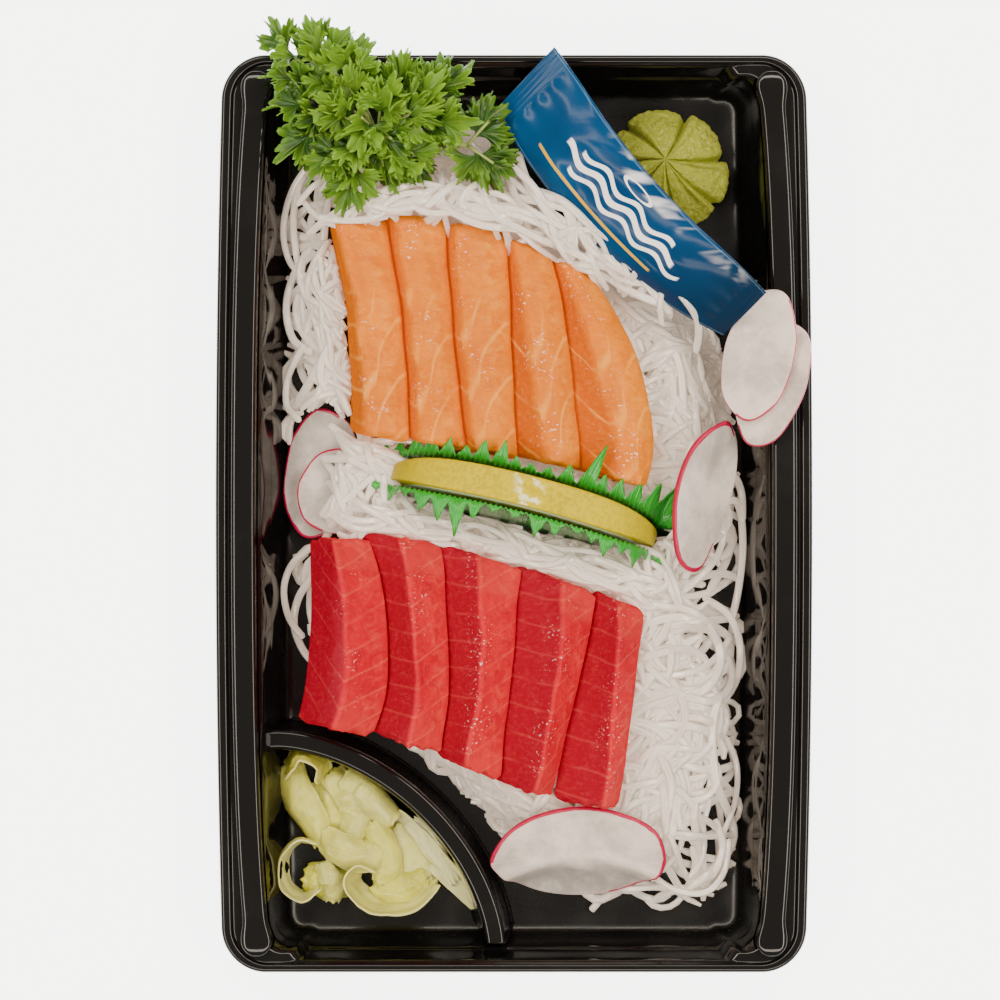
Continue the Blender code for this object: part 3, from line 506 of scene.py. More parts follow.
def leanBetween(fish, i, y):
    rows = fish["rows"]
    if i == 0:
        return lineAt(rows[0], fish["firstLean"], y)
    if i == len(rows):
        return lineAt(rows[-1], fish["lastLean"], y)
    left, right = rows[i - 1], rows[i]
    strip = lineAt(right, right[3], y) - lineAt(left, left[4], y)
    rise = lineAt(right, fish["top"], y) - lineAt(left, fish["top"], y) + fish["drop"]
    return max(strip, 0.4) / rise


def sliceCorner(fish, i, y, right, low):
    row = fish["rows"][i]
    lean = leanBetween(fish, i + right, y)
    x = lineAt(row, row[4] if right else row[3], y) - (fish["gap"] * (1 + lean) if right else 0.0)
    z = lineAt(row, fish["top"], y) - (fish["drop"] if right else 0.0)
    if low:
        scale = fish["depth"] / math.hypot(1.0, lean)
        x, z = x - lean * scale, z - scale
    return x, z


def sliceSection(fish, i, y):
    row = fish["rows"][i]
    middle = (lineAt(row, row[3], y) + lineAt(row, row[4], y)) / 2
    slant = row[2][0] + (row[2][1] - row[2][0]) * (row[0] - y) / (row[0] - row[1])
    corners = []
    for right, low in ((False, False), (True, False), (True, True), (False, True)):
        place = y
        for _ in range(3):
            x, z = sliceCorner(fish, i, place, right, low)
            place = y + slant * (x - middle)
        corners.append(Vector((x, place, z)))
    return corners


def fineSection(corners, radii, arc=6, straight=(16, 8, 5, 12)):
    # rounded section with each point's place across: 0 to 1 on top, minus centimetres down the left
    points, across, turns = [], [], []
    for i, corner in enumerate(corners):
        before = corners[i - 1] - corner
        after = corners[(i + 1) % 4] - corner
        turns.append((corner + before.normalized() * min(radii[i], before.length * 0.45), corner,
                      corner + after.normalized() * min(radii[i], after.length * 0.45)))
    leftDepth = (corners[3] - corners[0]).length / 10
    for i in range(4):
        a, corner, b = turns[i]
        following = turns[(i + 1) % 4][0]
        for k in range(arc):
            t = k / arc
            points.append(a * (1 - t) ** 2 + corner * 2 * t * (1 - t) + b * t * t)
            across.append(((t - 0.5) * 0.16, 0.92 + 0.16 * t, 2.0, -leftDepth)[i])
        for k in range(straight[i]):
            t = k / straight[i]
            points.append(b.lerp(following, t))
            across.append((0.08 + 0.84 * t, 1.08 + 0.9 * t, 2.0,
                           -0.08 - (leftDepth - 0.08) * (1 - t))[i])
    return points, across


def sliceMesh(fish, i):
    far, near = fish["rows"][i][:2]
    sections = 72
    stations = [(0.0, 0.80, 1.0), (0.0, 0.90, 0.72), (0.0, 0.965, 0.3)]
    stations += [(k / sections, 1.0, 0.0) for k in range(sections + 1)]
    stations += [(1.0, 0.965, -0.3), (1.0, 0.90, -0.72), (1.0, 0.80, -1.0)]
    phase, slope, spacing = fish["seams"][i]
    rings, labels, seams = [], [], []
    for t, scale, push in stations:
        y = mix(far, near, t)
        corners = sliceSection(fish, i, y)
        middle = sum(corners, Vector()) / 4
        end = Vector((0, push * 0.9, 0))
        corners = [middle + (corner - middle) * scale + end for corner in corners]
        points, across = fineSection(corners, fish["radii"])
        folded = max(0.0, 1 - (far - y) / 8.0)
        ring = []
        for point, u in zip(points, across):
            onTop = 0.0 <= u <= 1.0
            high = min(max((point.z - middle.z) / 8.0, 0.0), 1.0)
            crown = fish["bulge"] * math.sin(math.pi * u) if onTop else 0.0
            sway = uneven(point.x * 0.02, point.y * 0.07, 4.0) * 0.7
            if -0.3 < u < 0.4:
                sway += uneven(i * 3.1, point.y * 0.13, 8.0) * fish["sway"] * (1 - abs(u - 0.05) / 0.36)
            bump = noise.noise(point * 0.22) * 0.45 + noise.noise(point * 0.7) * 0.14
            cut = fish["ragged"] * uneven(point.x * 0.5, i, point.z * 0.5 + t * 9) * (t in (0.0, 1.0))
            ring.append((point.x + sway, point.y + cut,
                         point.z + crown + bump * high - fish["facet"] * folded * high))
            labels.append((u, point.y / 10, t))
            seams.append((phase, slope, spacing))
        rings.append(ring)
    points, faces = capped(rings)
    labels += [(2.0, far / 10, 0.0), (2.0, near / 10, 1.0)]
    seams += [seams[0]] * 2
    return makeMesh(f"{fish['name']}Slice{i + 1}", points, faces, {"flesh": labels, "seams": seams})


def fatSeams():  # pale seams of fat from the place across and along a slice
    group, given, result = makeGroup("fatSeams",
                                     (("Across", 0.0), ("Along", 0.0), ("Phase", 0.0), ("Slope", 0.0),
                                      ("Left Spacing", 7.0), ("Spacing", 10.0), ("Rise", 8.0),
                                      ("Hook", 7.0), ("Width", 0.3)), "Seam")
    top = calc("MINIMUM", calc("MAXIMUM", given["Across"], 0.0), 1.0)
    left = calc("MAXIMUM", given["Across"] * -10.0, 0.0)
    rest = 1.0 - top
    fifth = rest ** 5.0
    start = given["Along"] + given["Phase"]
    over = start - top * given["Rise"]
    over = over + fifth * rest * given["Hook"]
    slope = given["Rise"] + fifth * 6.0 * given["Hook"]
    reach = calc("SQRT", 1.0 + (slope / 13.0) ** 2.0)

    def seam(value, spacing, width):
        turns = calc("FRACT", value / spacing + 0.5)
        away = abs(turns - 0.5) * spacing
        return soften(away, 0.0, width, 1.0, 0.0)

    onTop = seam(over, given["Spacing"], given["Width"] * reach)
    down = start + given["Hook"] - left * given["Slope"]
    onLeft = seam(down, given["Left Spacing"], given["Width"])
    sides = {0: calc("GREATER_THAN", left, 0.3), 2: onTop, 3: onLeft}
    join(wire(group, "ShaderNodeMix", 0, sides, data_type="FLOAT"), result)
    return group


def fleshMaterial(name, look, fat, specks):
    material, tree, body = shader(name, roughness=0.24, ior=1.4, specularLevel=0.13,
                                  emissionColor=look["glow"], subsurfaceWeight=look["depth"],
                                  subsurfaceRadius=look["radius"], subsurfaceScale=0.004)
    parts, lines = carried(tree, "flesh"), carried(tree, "seams")
    across = parts[0] + (grain(tree, 120.0) - 0.5) * (look["stray"] * 0.1)
    wander = (grain(tree, 60.0, 2.0) - 0.5) * (look["stray"] * 6.0)
    along = parts[1] * 10.0 + wander
    seams = useGroup(tree, fat, across=across, along=along, phase=lines[0], slope=lines[1],
                     leftSpacing=lines[2], spacing=look["spacing"], rise=look["rise"],
                     hook=look["hook"], width=look["width"])
    left = soften(parts[0] * -1.0, 0.0, 0.12)
    seams = seams * (1.0 - left * (1 - look["leftSeams"]))
    seams = seams * soften(parts[2], look["starts"], look["starts"] + 0.12)
    seams = seams * soften(grain(tree, 110.0), 0.25, 0.62)
    fibre = grain(tree, 1000.0, 4.0, 0.6, stretch=(0.3, 1.0, 1.0), distortion=0.3)
    colour = blend(soften(grain(tree, 45.0), 0.3, 0.7), look["top"], look["topDark"])
    mottle = soften(grain(tree, 260.0, 5.0, 0.65), 0.45, 0.7) * 0.35
    colour = blend(mottle, colour, look["side"])
    ripples = grain(tree, 430.0, 3.0, 0.6, stretch=look["ripple"], distortion=0.6)
    # painted shade: the darker side colour fills the valleys of the ripples
    valleys = soften(ripples, 0.52, 0.36) * look["shadow"]
    colour = blend(valleys * 0.7, colour, look["side"])
    # painted shade: the top darkens towards its left edge, where it rounds over
    turning = soften(parts[0], 0.22, 0.02) * look["shadow"]
    colour = blend(turning * 0.6, colour, look["side"])
    # painted highlight: paler flesh on the ripple crests across the middle of the top
    crest = soften(parts[0], 0.35, 0.6) * soften(parts[0], 0.98, 0.7)
    colour = blend(crest * (soften(ripples, 0.45, 0.7) * 0.3), colour, look["fat"])
    # painted shade: the left faces take the darker side colour
    colour = blend(left, colour, look["side"])
    colour = blend(soften(fibre, 0.45, 0.75) * look["fibre"], colour, look["fat"])
    # paler towards both ends; at the far ends this is a painted highlight on the bent-back ends
    ends = soften(parts[2], 0.17, 0.12) * look["paleFar"]
    ends = ends + soften(parts[2], 0.72, 1.0) * look["paleNear"]
    colour = blend(ends * (1.0 - left), colour, look["end"])
    colour = blend(seams * look["seamStrength"], colour, look["fat"])
    # painted glints: near-white specks by the top's left edge
    wet = useGroup(tree, specks, amount=look["glints"]) * soften(abs(parts[0]), 0.7, 0.0)
    colour = blend(wet, colour, (1.0, 0.9, 0.82))
    join(colour, body.inputs["Base Color"])
    # painted glow: faces that turn away from up emit warm light, standing in for light that comes
    # through the flesh, so the gaps stay warm
    upward = apart(wire(tree, "ShaderNodeNewGeometry", "Normal"))[2]
    join(soften(upward, 0.75, 0.1) * look["gapLight"], body.inputs["Emission Strength"])
    join(soften(upward, 0.3, 0.8) * 0.14, body.inputs["Specular IOR Level"])
    low = relief(body, fibre, 0.16, 0.9)
    low = relief(body, seams, 0.10, 0.6, low)
    low = relief(body, ripples, 0.42, 0.9, low)
    relief(body, grain(tree, 260.0, 5.0, 0.65), 0.3, 0.8, low)
    return material


def buildFish():
    fat, specks = fatSeams(), wetSpecks()
    for fish in (salmon, tuna):
        material = fleshMaterial(fish["name"] + "Flesh", fish["look"], fat, specks)
        for i in range(5):
            addPiece(f"{fish['name']}Slice{i + 1}", sliceMesh(fish, i), material,
                     f"{fish['name']}_{i + 1}", fish["slot"])


lemon = dict(middle=(2.0, 0.9), heading=-14.2, half=32.6, height=24.0, thick=7.3, base=10.0, lean=11.0)


def lemonPlace():
    return placed(*lemon["middle"], lemon["base"], lemon["heading"], 0.0, -lemon["lean"])


def lemonHalf(x):  # half thickness along the slice
    return lemon["thick"] / 2 * (1 - 0.5 * abs(x / lemon["half"]) ** 5)


def lemonTop(x):
    return lemon["height"] * max(1 - (x / lemon["half"]) ** 2, 0.0) ** 0.425


def buildLemon():
    half, height, steps = lemon["half"], lemon["height"], 110
    outline = [(-half + 1.0, 0.0)]
    for i in range(steps + 1):
        angle = math.pi * i / steps
        outline.append((-half * math.cos(angle), height * math.sin(angle) ** 0.85 + 0.8))
    outline.append((half - 1.0, 0.0))
    outline += [(half * (0.97 - 1.94 * i / 12), 0.0) for i in range(1, 12)]
    # place across the slice, and how far the outline is drawn in there
    shares = [(-1.0, 1.6), (-1.0, 0.8), (-0.985, 0.4), (-0.93, 0.14), (-0.82, 0.02), (-0.6, 0.0),
              (-0.3, 0.0), (0.0, 0.0)]
    shares += [(-side, inset) for side, inset in reversed(shares[:-1])]

    def face(side, scales):  # a flat side runs in to its middle by shrinking the outline
        return [[(x * s, side * lemonHalf(x * s) * 0.98, 9.0 + (z - 9.0) * s) for x, z in outline]
                for s in scales]

    rings = face(-1, (0.05, 0.3, 0.55, 0.75, 0.88))
    for side, inset in shares:
        rings.append([(x * (1 - inset / half), side * lemonHalf(x),
                       z * (1 - inset / height) + inset * 0.3) for x, z in outline])
    rings += face(1, (0.88, 0.75, 0.55, 0.3, 0.05))
    points, faces = capped(rings)
    place, labels = lemonPlace(), []
    for x, y, z in points:
        labels.append((math.hypot(x / half, max(z, 0.0) / height), math.atan2(max(z, 0.0), x),
                       abs(y) / max(lemonHalf(x), 0.1)))
    mesh = makeMesh("lemonSlice", [tuple(place @ Vector(point)) for point in points], faces,
                    {"slice": labels})

    material, tree, body = shader("lemonPeel", roughness=0.32, ior=1.45, subsurfaceWeight=0.05,
                                  specularLevel=0.07, subsurfaceRadius=(1.0, 0.7, 0.1),
                                  subsurfaceScale=0.0015)
    parts = carried(tree, "slice")
    coords = objectCoords(tree)
    pores = wire(tree, "ShaderNodeTexVoronoi", "Distance",
                 {"Vector": coords, "Scale": 950.0, "Randomness": 0.9})
    pit = soften(pores, 0.12, 0.42)
    tone = grain(tree, 60.0)
    peel = blend(soften(tone, 0.35, 0.7), (0.52, 0.41, 0.0), (0.43, 0.335, 0.0))
    peel = blend(soften(pores, 0.45, 0.6) * 0.3, peel, (0.74, 0.6, 0.0))
    along = apart(coords)[0]
    # painted shade: the peel darkens towards both ends of the slice, where it turns down
    far = abs(along - 0.004)
    peel = blend(soften(far, 0.014, 0.032) * 0.6, peel, (0.42, 0.345, 0.0))
    segments = abs(calc("SINE", parts[1] * 5.0))
    juicy = blend(soften(segments, 0.06, 0.16), (0.9, 0.86, 0.6), (0.75, 0.6, 0.1))
    pith = blend(soften(parts[0], 0.84, 0.87), juicy, (0.9, 0.87, 0.66))
    cut = blend(soften(parts[0], 0.955, 0.975), pith, peel)
    # painted highlight: a pale glint along the top of the peel, broken up by noise
    shine = soften(abs(along - 0.0035), 0.0045, 0.001) * soften(grain(tree, 420.0, 2.0), 0.48, 0.6)
    peel = blend(shine * 0.8, peel, (0.95, 0.92, 0.6))
    join(blend(soften(parts[2], 0.95, 0.985), peel, cut), body.inputs["Base Color"])
    low = relief(body, pit, 0.10, 0.8)
    relief(body, tone, 0.3, 0.3, low)
    addPiece("lemonSlice", mesh, material, "lemon")


# spikes of the film: place along the lemon, reach past the edge, half width, sideways lean
grassFilm = dict(half=36.0, thick=0.22, step=0.3,
                 back=((-35.0, 2.4, 2.4, 0), (-31.6, 3.4, 2.3, -0.6), (-27.9, 4.2, 2.2, -0.4),
                       (-24.4, 5.0, 2.1, 0), (-20.4, 3.6, 2.1, 0), (-16.2, 2.6, 2.0, 0),
                       (-12.3, 4.4, 2.2, 0), (-7.9, 5.2, 2.2, 0.3), (-4.3, 2.4, 1.8, 0),
                       (-0.6, 1.8, 1.8, 0), (3.6, 2.0, 1.9, 0), (8.1, 3.6, 2.2, 0.3),
                       (12.9, 9.6, 2.2, 1.6), (16.4, 3.8, 1.9, 0.8), (20.6, 4.2, 2.2, 0.4),
                       (24.7, 5.4, 2.3, 0.8), (28.6, 7.0, 2.5, 1.4), (31.8, 9.4, 2.6, 1.8),
                       (34.8, 9.6, 2.6, 3.4)),
                 front=((-35.0, 1.8, 2.3, 0), (-31.4, 3.4, 2.4, 0), (-27.6, 1.6, 1.8, 0),
                        (-23.6, 4.4, 2.5, 0.4), (-19.4, 6.0, 2.4, 0.6), (-15.4, 8.6, 2.4, 1.0),
                        (-11.2, 4.0, 2.0, 0.6), (-6.6, 1.4, 1.7, 0), (-1.6, 1.6, 1.9, 0),
                        (3.9, 4.4, 2.3, 0), (8.2, 3.2, 2.0, 0.2), (13.2, 1.2, 1.8, 0),
                        (17.2, 2.2, 1.9, 0), (20.6, 4.4, 2.4, 0), (24.6, 2.8, 1.9, 0),
                        (28.2, 4.6, 2.3, 0), (31.6, 3.4, 2.0, 0), (34.6, 4.8, 2.2, 0)))


def buildGrass():
    material, tree, body = shader("grassFilm", roughness=0.2, ior=1.45, coatWeight=0.2,
                                  coatRoughness=0.08, subsurfaceWeight=0.2,
                                  subsurfaceRadius=(0.3, 1.0, 0.2), subsurfaceScale=0.001)
    parts = carried(tree, "blade")
    ribs = abs(calc("SINE", parts[0] * 5.2))
    # painted shade: the film is darker low down where it wraps the lemon, lighter towards its top and
    # spikes
    colour = blend(soften(parts[1], 0.2, 1.1), (0.01, 0.12, 0.018), (0.02, 0.36, 0.025))
    colour = blend(soften(ribs, 0.4, 0.0) * 0.6, colour, (0.006, 0.055, 0.008))
    join(colour, body.inputs["Base Color"])
    relief(body, ribs, 0.14, 0.6)
    place, film = lemonPlace(), grassFilm
    count = int(2 * film["half"] / film["step"])
    for number, (side, spikes) in enumerate(((1, film["back"]), (-1, film["front"]))):
        points, blade = [], []
        for k in range(count + 1):
            x = -film["half"] + film["step"] * k
            tip, lean = max((reach * max(0.0, 1 - abs(x - at) / wide), lean)
                            for at, reach, wide, lean in spikes)
            half = lemonHalf(min(abs(x), lemon["half"]))
            edge = max(lemonTop(x) - 1.6, 5.5) if abs(x) < lemon["half"] else 5.5
            pleat = 0.22 * math.sin(x * 5.2)
            base = [(0.8, -0.8), (0.9, edge * 0.35), (1.0, edge * 0.7), (1.25, edge)]
            if side > 0:
                base = [(u + 0.9 * (z > 0), min(z, edge * 0.86)) for u, z in base]
                outer = [(1.9 + 1.1 * tip * f, edge * 0.88 + 0.42 * tip * f) for f in (0.35, 0.7, 1.0)]
            else:
                outer = [(1.4 + 1.05 * tip * f, edge + 0.4 * math.sin(2.2 * f) - 0.25 * tip * f * f)
                         for f in (0.35, 0.7, 1.0)]
            for row, (u, z) in enumerate(base + outer):
                low, high = min(row / 3, 1.0), max(row - 3, 0) / 3
                points.append(tuple(place @ Vector((x + lean * tip / 8 * high * high * 1.4,
                                                    side * (half + u + pleat * low), z))))
                blade.append((x, low, tip))
        mesh = makeMesh(f"grassFilm{number + 1}", points, gridFaces(count + 1, 7), {"blade": blade})
        thicken(addPiece(f"grassFilm{number + 1}", mesh, material, "grass"), film["thick"])


# slices: middle, half length, half width, heading, roll, pitch, bend, then where red skin runs in
# compass degrees from +X, how wide it is, and how clear the flesh is (the last slice is folded)
radish = dict(half=0.65, around=160, slices=(
    ((-46.0, 9.4, 6.4), 15.6, 10.0, 83, -21, 0, 0.4, 70, 275, 0.055, 0.45),
    ((-42.4, 5.2, 10.9), 10.2, 10.0, 72, -22, 2, 0.4, 75, 255, 0.06, 0.4),
    ((57.2, 37.0, 27.0), 15.8, 8.2, 76, -4, -3, -0.6, -112, 62, 0.03, 0.15),
    ((60.6, 30.2, 25.0), 15.2, 7.6, 70, -4, -1.5, -0.5, -130, 40, 0.03, 0.3),
    ((44.6, 4.4, 21.6), 18.2, 9.0, 76, 44, 0, 0.8, 60, 290, 0.055, 0.35),
    ((15.6, -80.4, 15.0), 20.8, 12.6, 1, 30, 0, 1.4, -60, 182, 0.04, None)))


def radishMaterial():
    material, tree, body = shader("radishFlesh", roughness=0.3, ior=1.4, subsurfaceWeight=0.4,
                                  coatWeight=0.15, subsurfaceRadius=(1.0, 0.8, 0.75),
                                  subsurfaceScale=0.0025)
    parts, skin = carried(tree, "disc"), carried(tree, "skin")[3]
    cloud = grain(tree, 100.0, 6.0, 0.65)
    colour = blend(soften(cloud, 0.36, 0.64), (0.54, 0.485, 0.44), (0.8, 0.71, 0.65))
    rays = calc("SINE", parts[1] * 30.0)
    rays = soften(rays, 0.8, 1.0) * soften(parts[0], 0.25, 0.8)
    colour = blend(rays * 0.25, colour, (0.88, 0.78, 0.72))
    colour = blend(parts[2] * soften(cloud, 0.9, 0.3), colour, (0.27, 0.25, 0.23))
    blush = soften(parts[0], 0.88, 0.99) * soften(grain(tree, 90.0), 0.35, 0.65)
    colour = blend(blush * 0.25, colour, (0.75, 0.35, 0.4))
    edge = parts[0] + (grain(tree, 240.0) - 0.5) * 0.03
    rough = skin * (grain(tree, 200.0, 3.0) * 1.5 + 0.2)
    red = soften(edge - (0.994 - rough), 0.0, 0.008)
    tint = blend(grain(tree, 300.0), (0.55, 0.0, 0.07), (0.3, 0.0, 0.03))
    join(blend(red, colour, tint), body.inputs["Base Color"])
    relief(body, cloud, 0.15, 0.4)
    return material


def buildRadish():
    material, half, around = radishMaterial(), radish["half"], radish["around"]
    flat = [(s, half) for s in (0.2, 0.4, 0.6, 0.8, 0.9, 0.94, 0.965, 0.98)]
    bevel = [(0.992, half * 0.75), (1.0, half * 0.35), (1.0, -half * 0.35), (0.992, -half * 0.75)]
    levels = flat + bevel + [(s, -z) for s, z in reversed(flat)]
    for number, row in enumerate(radish["slices"]):
        middle, long, wide, heading, roll, pitch, bend, redFrom, redTo, red, flesh = row
        place = placed(*middle, heading, pitch, roll)
        rings, labels, skin = [], [], []
        for scale, z in levels:
            ring = []
            for i in range(around):
                angle = math.tau * i / around
                edge = 1 + 0.018 * math.sin(3 * angle + number)
                edge += 0.01 * math.sin(7 * angle + 2 * number)
                x, y = scale * math.cos(angle) * edge, scale * math.sin(angle) * edge
                curl = bend * (x * x * 2.0 - 0.5) + 0.35 * bend * math.sin(3 * angle) * scale
                curl += 0.4 * math.sin(4 * angle + number * 1.7) * scale ** 3 * abs(bend)
                clear = flesh
                if flesh is None:  # thin and clear below its fold
                    fold = (y + 0.10 + 0.5 * x * x) * wide
                    curl += 1.5 * math.exp(-(fold / 2.6) ** 2) - 0.9 * max(0.0, -fold / wide)
                    clear = float(smooth(0.05, -0.35, fold / wide))
                ring.append(tuple(place @ Vector((x * long, y * wide, z + curl))))
                labels.append((scale, angle, clear))
                facing = math.degrees(math.atan2(y * wide, x * long)) + heading
                inside = (facing - redFrom) % 360 < redTo - redFrom
                skin.append(red if inside else 0.004)
            rings.append(ring)
        points, faces = capped(rings)
        name = f"radishSlice{number + 1}"
        mesh = makeMesh(name, points, faces,
                        {"disc": labels + [(0.0, 0.0, 0.3)] * 2, "skin": skin + [0.004] * 2})
        addPiece(name, mesh, material, f"radish_{number + 1}", "radish")


# first direction of each petal in degrees, and its reach at the first and the last side
wasabi = dict(middle=(35.9, 84.0), radius=14.0, height=14.0,
              petals=((2, 1.03, 0.92), (64, 0.85, 0.92), (138, 0.90, 0.90), (184, 0.95, 0.98),
                      (232, 1.00, 1.08), (281, 1.13, 1.17), (319, 1.20, 1.06)))


def buildWasabi():
    petals, rings = wasabi["petals"], []
    (midX, midY), size, tall = wasabi["middle"], wasabi["radius"], wasabi["height"]
    for level in np.concatenate([np.linspace(0, 0.3, 18, endpoint=False), np.linspace(0.3, 1.0, 54)]):
        ring = []
        for k, (start, first, last) in enumerate(petals):
            span = (petals[(k + 1) % len(petals)][0] - start) % 360
            for f in np.arange(44) / 44:
                groove = math.exp(-(f / 0.08) ** 2) + math.exp(-((1 - f) / 0.04) ** 2)
                ridge = 0.74 + 0.14 * f + 0.14 * math.exp(-((f - 0.84) / 0.09) ** 2)
                if level < 0.3:  # below, the sides swell out; above, the top runs in to its tip
                    t = level / 0.3
                    radius, z = 0.84 + 0.16 * math.sin(1.57 * t), 0.52 * t * ridge
                    deep = 1.0
                else:
                    t = (level - 0.3) / 0.7
                    swell = 0.52 + 0.40 * math.sin(1.57 * min(t * 1.5, 1.0)) ** 0.8 + 0.06 * t
                    radius, z = 1 - t, swell * mix(ridge, 1, t)
                    deep = (1 - t) ** 0.35
                z -= 0.09 * groove * deep * min(1.0, level * 3)
                bulge = 1 - 0.10 * groove * deep + 0.03 * math.sin(math.pi * f)
                radius *= mix(first, last, f) * bulge
                turn = math.radians(start + span * f - 9.0 * (1 - radius))
                x, y = radius * math.cos(turn), radius * math.sin(turn)
                rough = uneven(x * 9, y * 9, z * 9) * 0.022
                rough += uneven(x * 30, y * 30, z * 30) * 0.014
                ring.append((midX + size * x * (1 + rough), midY + size * y * (1 + rough),
                             1.1 + tall * (z + rough * 0.7)))
        rings.append(ring)
    tip = sum((Vector(point) for point in rings[-2]), Vector()) / len(rings[-2])
    rings[-1] = [tuple(tip + (Vector(point) - tip) * 0.02) for point in rings[-2]]
    material, tree, body = shader("wasabiPaste", roughness=0.62, ior=1.4, subsurfaceWeight=0.12,
                                  specularLevel=0.15, subsurfaceRadius=(0.8, 1.0, 0.2),
                                  subsurfaceScale=0.001)
    fine = grain(tree, 1500.0, 3.0, 0.6)
    colour = blend(soften(grain(tree, 130.0, 4.0, 0.6), 0.3, 0.7), (0.31, 0.345, 0.04),
                   (0.24, 0.265, 0.03))
    # pale fine specks: the paste's grain, painted paler as fine highlights
    colour = blend(soften(fine, 0.5, 0.7) * 0.5, colour, (0.58, 0.58, 0.2))
    join(colour, body.inputs["Base Color"])
    low = relief(body, fine, 0.14, 0.8)
    relief(body, grain(tree, 420.0, 4.0), 0.2, 0.5, low)
    addPiece("wasabiRosette", makeMesh("wasabiRosette", *capped(rings)), material, "wasabi")


# printed waves: place across the packet, half width, where along it they begin and end
packet = dict(start=(2.6, 101.6, 27.2), end=(53.4, 46.2, 31.6), dip=2.6, halves=(10.6, 10.6, 9.2),
              puff=4.8, bow=4.2, rolls=(-28.0, -12.0, -46.0),
              waves=((-0.30, 0.055, 0.30, 0.70), (-0.06, 0.075, 0.24, 0.74), (0.19, 0.055, 0.30, 0.78)))


def buildPacket():
    start, end = Vector(packet["start"]), Vector(packet["end"])
    along = (end - start).normalized()
    across = along.cross(Vector((0, 0, 1))).normalized()
    up = across.cross(along)
    stations, around = 180, 140
    rings, labels = [], []
    for k in range(stations + 1):
        t = k / stations
        fill = max(0.0, min((t - 0.09) / 0.2, (0.91 - t) / 0.2, 1.0))
        fill = fill * fill * (3 - 2 * fill)
        side, high = rolled(across, up, threeWay(packet["rolls"], t))
        wide = threeWay(packet["halves"], t) * (1 - 0.03 * fill)
        thick = 0.2 + packet["puff"] * fill
        bent = math.sin(math.pi * t)
        middle = start.lerp(end, t) - up * (packet["dip"] * bent) + across * (packet["bow"] * bent)
        crimp = 0.10 * math.sin(t * 420) * (t < 0.07 or t > 0.94)
        ring = []
        for i in range(around):
            angle = math.tau * i / around
            c, s = math.cos(angle), math.sin(angle)
            over = math.copysign(1.0, s)
            pucker = 0.0
            if 0.07 < t < 0.94:
                nearEnd = math.exp(-min(t - 0.07, 0.94 - t) / 0.05)
                pucker = nearEnd * 0.2 * math.sin(c * 13 + 2.0 * math.sin(t * 9)) * abs(s) ** 0.6
                pucker += 0.9 * uneven(c * 1.2 + t * 3, t * 2.6 - c, 3.0 + over) * abs(s) ** 0.5 * fill
                crease = uneven(c * 2.2 + t * 5, t * 6.5 - c, 9.0)
                pucker -= 0.16 * max(0.0, 1 - abs(crease) * 3) * abs(s) * fill
            body = thick * abs(s) ** 1.35 + 0.12
            ring.append(tuple(middle + side * wide * c + high * (over * body + crimp + pucker)))
            labels.append((c, t, 1.0 if s > 0 else 0.0))
        rings.append(ring)
    points, faces = capped(rings)
    mesh = makeMesh("saucePacket", points, faces, {"film": labels + [(0.0, 0.0, 1.0), (0.0, 1.0, 1.0)]})

    material, tree, body = shader("packetFilm", roughness=0.24, ior=1.45, specularLevel=0.16,
                                  coatWeight=0.06, coatRoughness=0.1)
    parts = carried(tree, "film")
    colour = blend(soften(grain(tree, 40.0, 2.0), 0.3, 0.7), (0.0, 0.036, 0.118),
                   (0.002, 0.06, 0.172))
    # painted shade: the film darkens towards the packet's lower end
    colour = blend(soften(parts[1], 0.6, 1.0), colour, (0.003, 0.02, 0.055))

    def within(value, middle, reach, soft=0.12):  # 1 near the middle, 0 beyond the reach
        away = abs(value - middle)
        return soften(away, reach * (1 + soft), reach * (1 - soft))

    # plain print: three wavy white bands, a yellow stripe and a pale oval
    wave = calc("SINE", parts[1] * 44.0) * 0.09
    bands = 0.0
    for place, reach, first, last in packet["waves"]:
        length = within(parts[1], (first + last) / 2, (last - first) / 2, 0.02)
        bands = calc("MAXIMUM", bands, within(parts[0] - wave, place, reach) * length)
    oval = calc("SQRT", ((parts[1] - 0.5) * 15.0) ** 2.0 + ((parts[0] + 0.6) * 8.0) ** 2.0)
    bands = calc("MAXIMUM", bands, within(oval, 0.85, 0.12))
    colour = blend(bands * parts[2], colour, (0.86, 0.87, 0.88))
    stripe = within(parts[0], 0.5, 0.035) * within(parts[1], 0.44, 0.26, 0.02)
    colour = blend(stripe * parts[2], colour, (0.62, 0.38, 0.02))
    margin = within(abs(parts[0]), 0.95, 0.012, 0.5)
    colour = blend(margin * 0.3, colour, (0.2, 0.36, 0.5))
    turned = mapped(objectCoords(tree), rotation=(0.0, 0.0, math.radians(48)), scale=(0.16, 1.0, 1.0))
    glare = within(parts[0], -0.8, 0.16, 0.4) * within(parts[1], 0.62, 0.27, 0.25)
    glare = glare * soften(grain(tree, 240.0, 2.0, 0.5, vector=turned, distortion=0.2), 0.46, 0.62)
    colour = blend(glare * parts[2] * 0.8, colour, (0.82, 0.84, 0.88))
    join(colour, body.inputs["Base Color"])
    folds = grain(tree, 150.0, 3.0, 0.5, vector=turned, distortion=0.4)
    low = relief(body, folds, 0.5, 0.3)
    relief(body, grain(tree, 420.0, 3.0), 0.1, 0.3, low)
    addPiece("saucePacket", mesh, material, "packet")


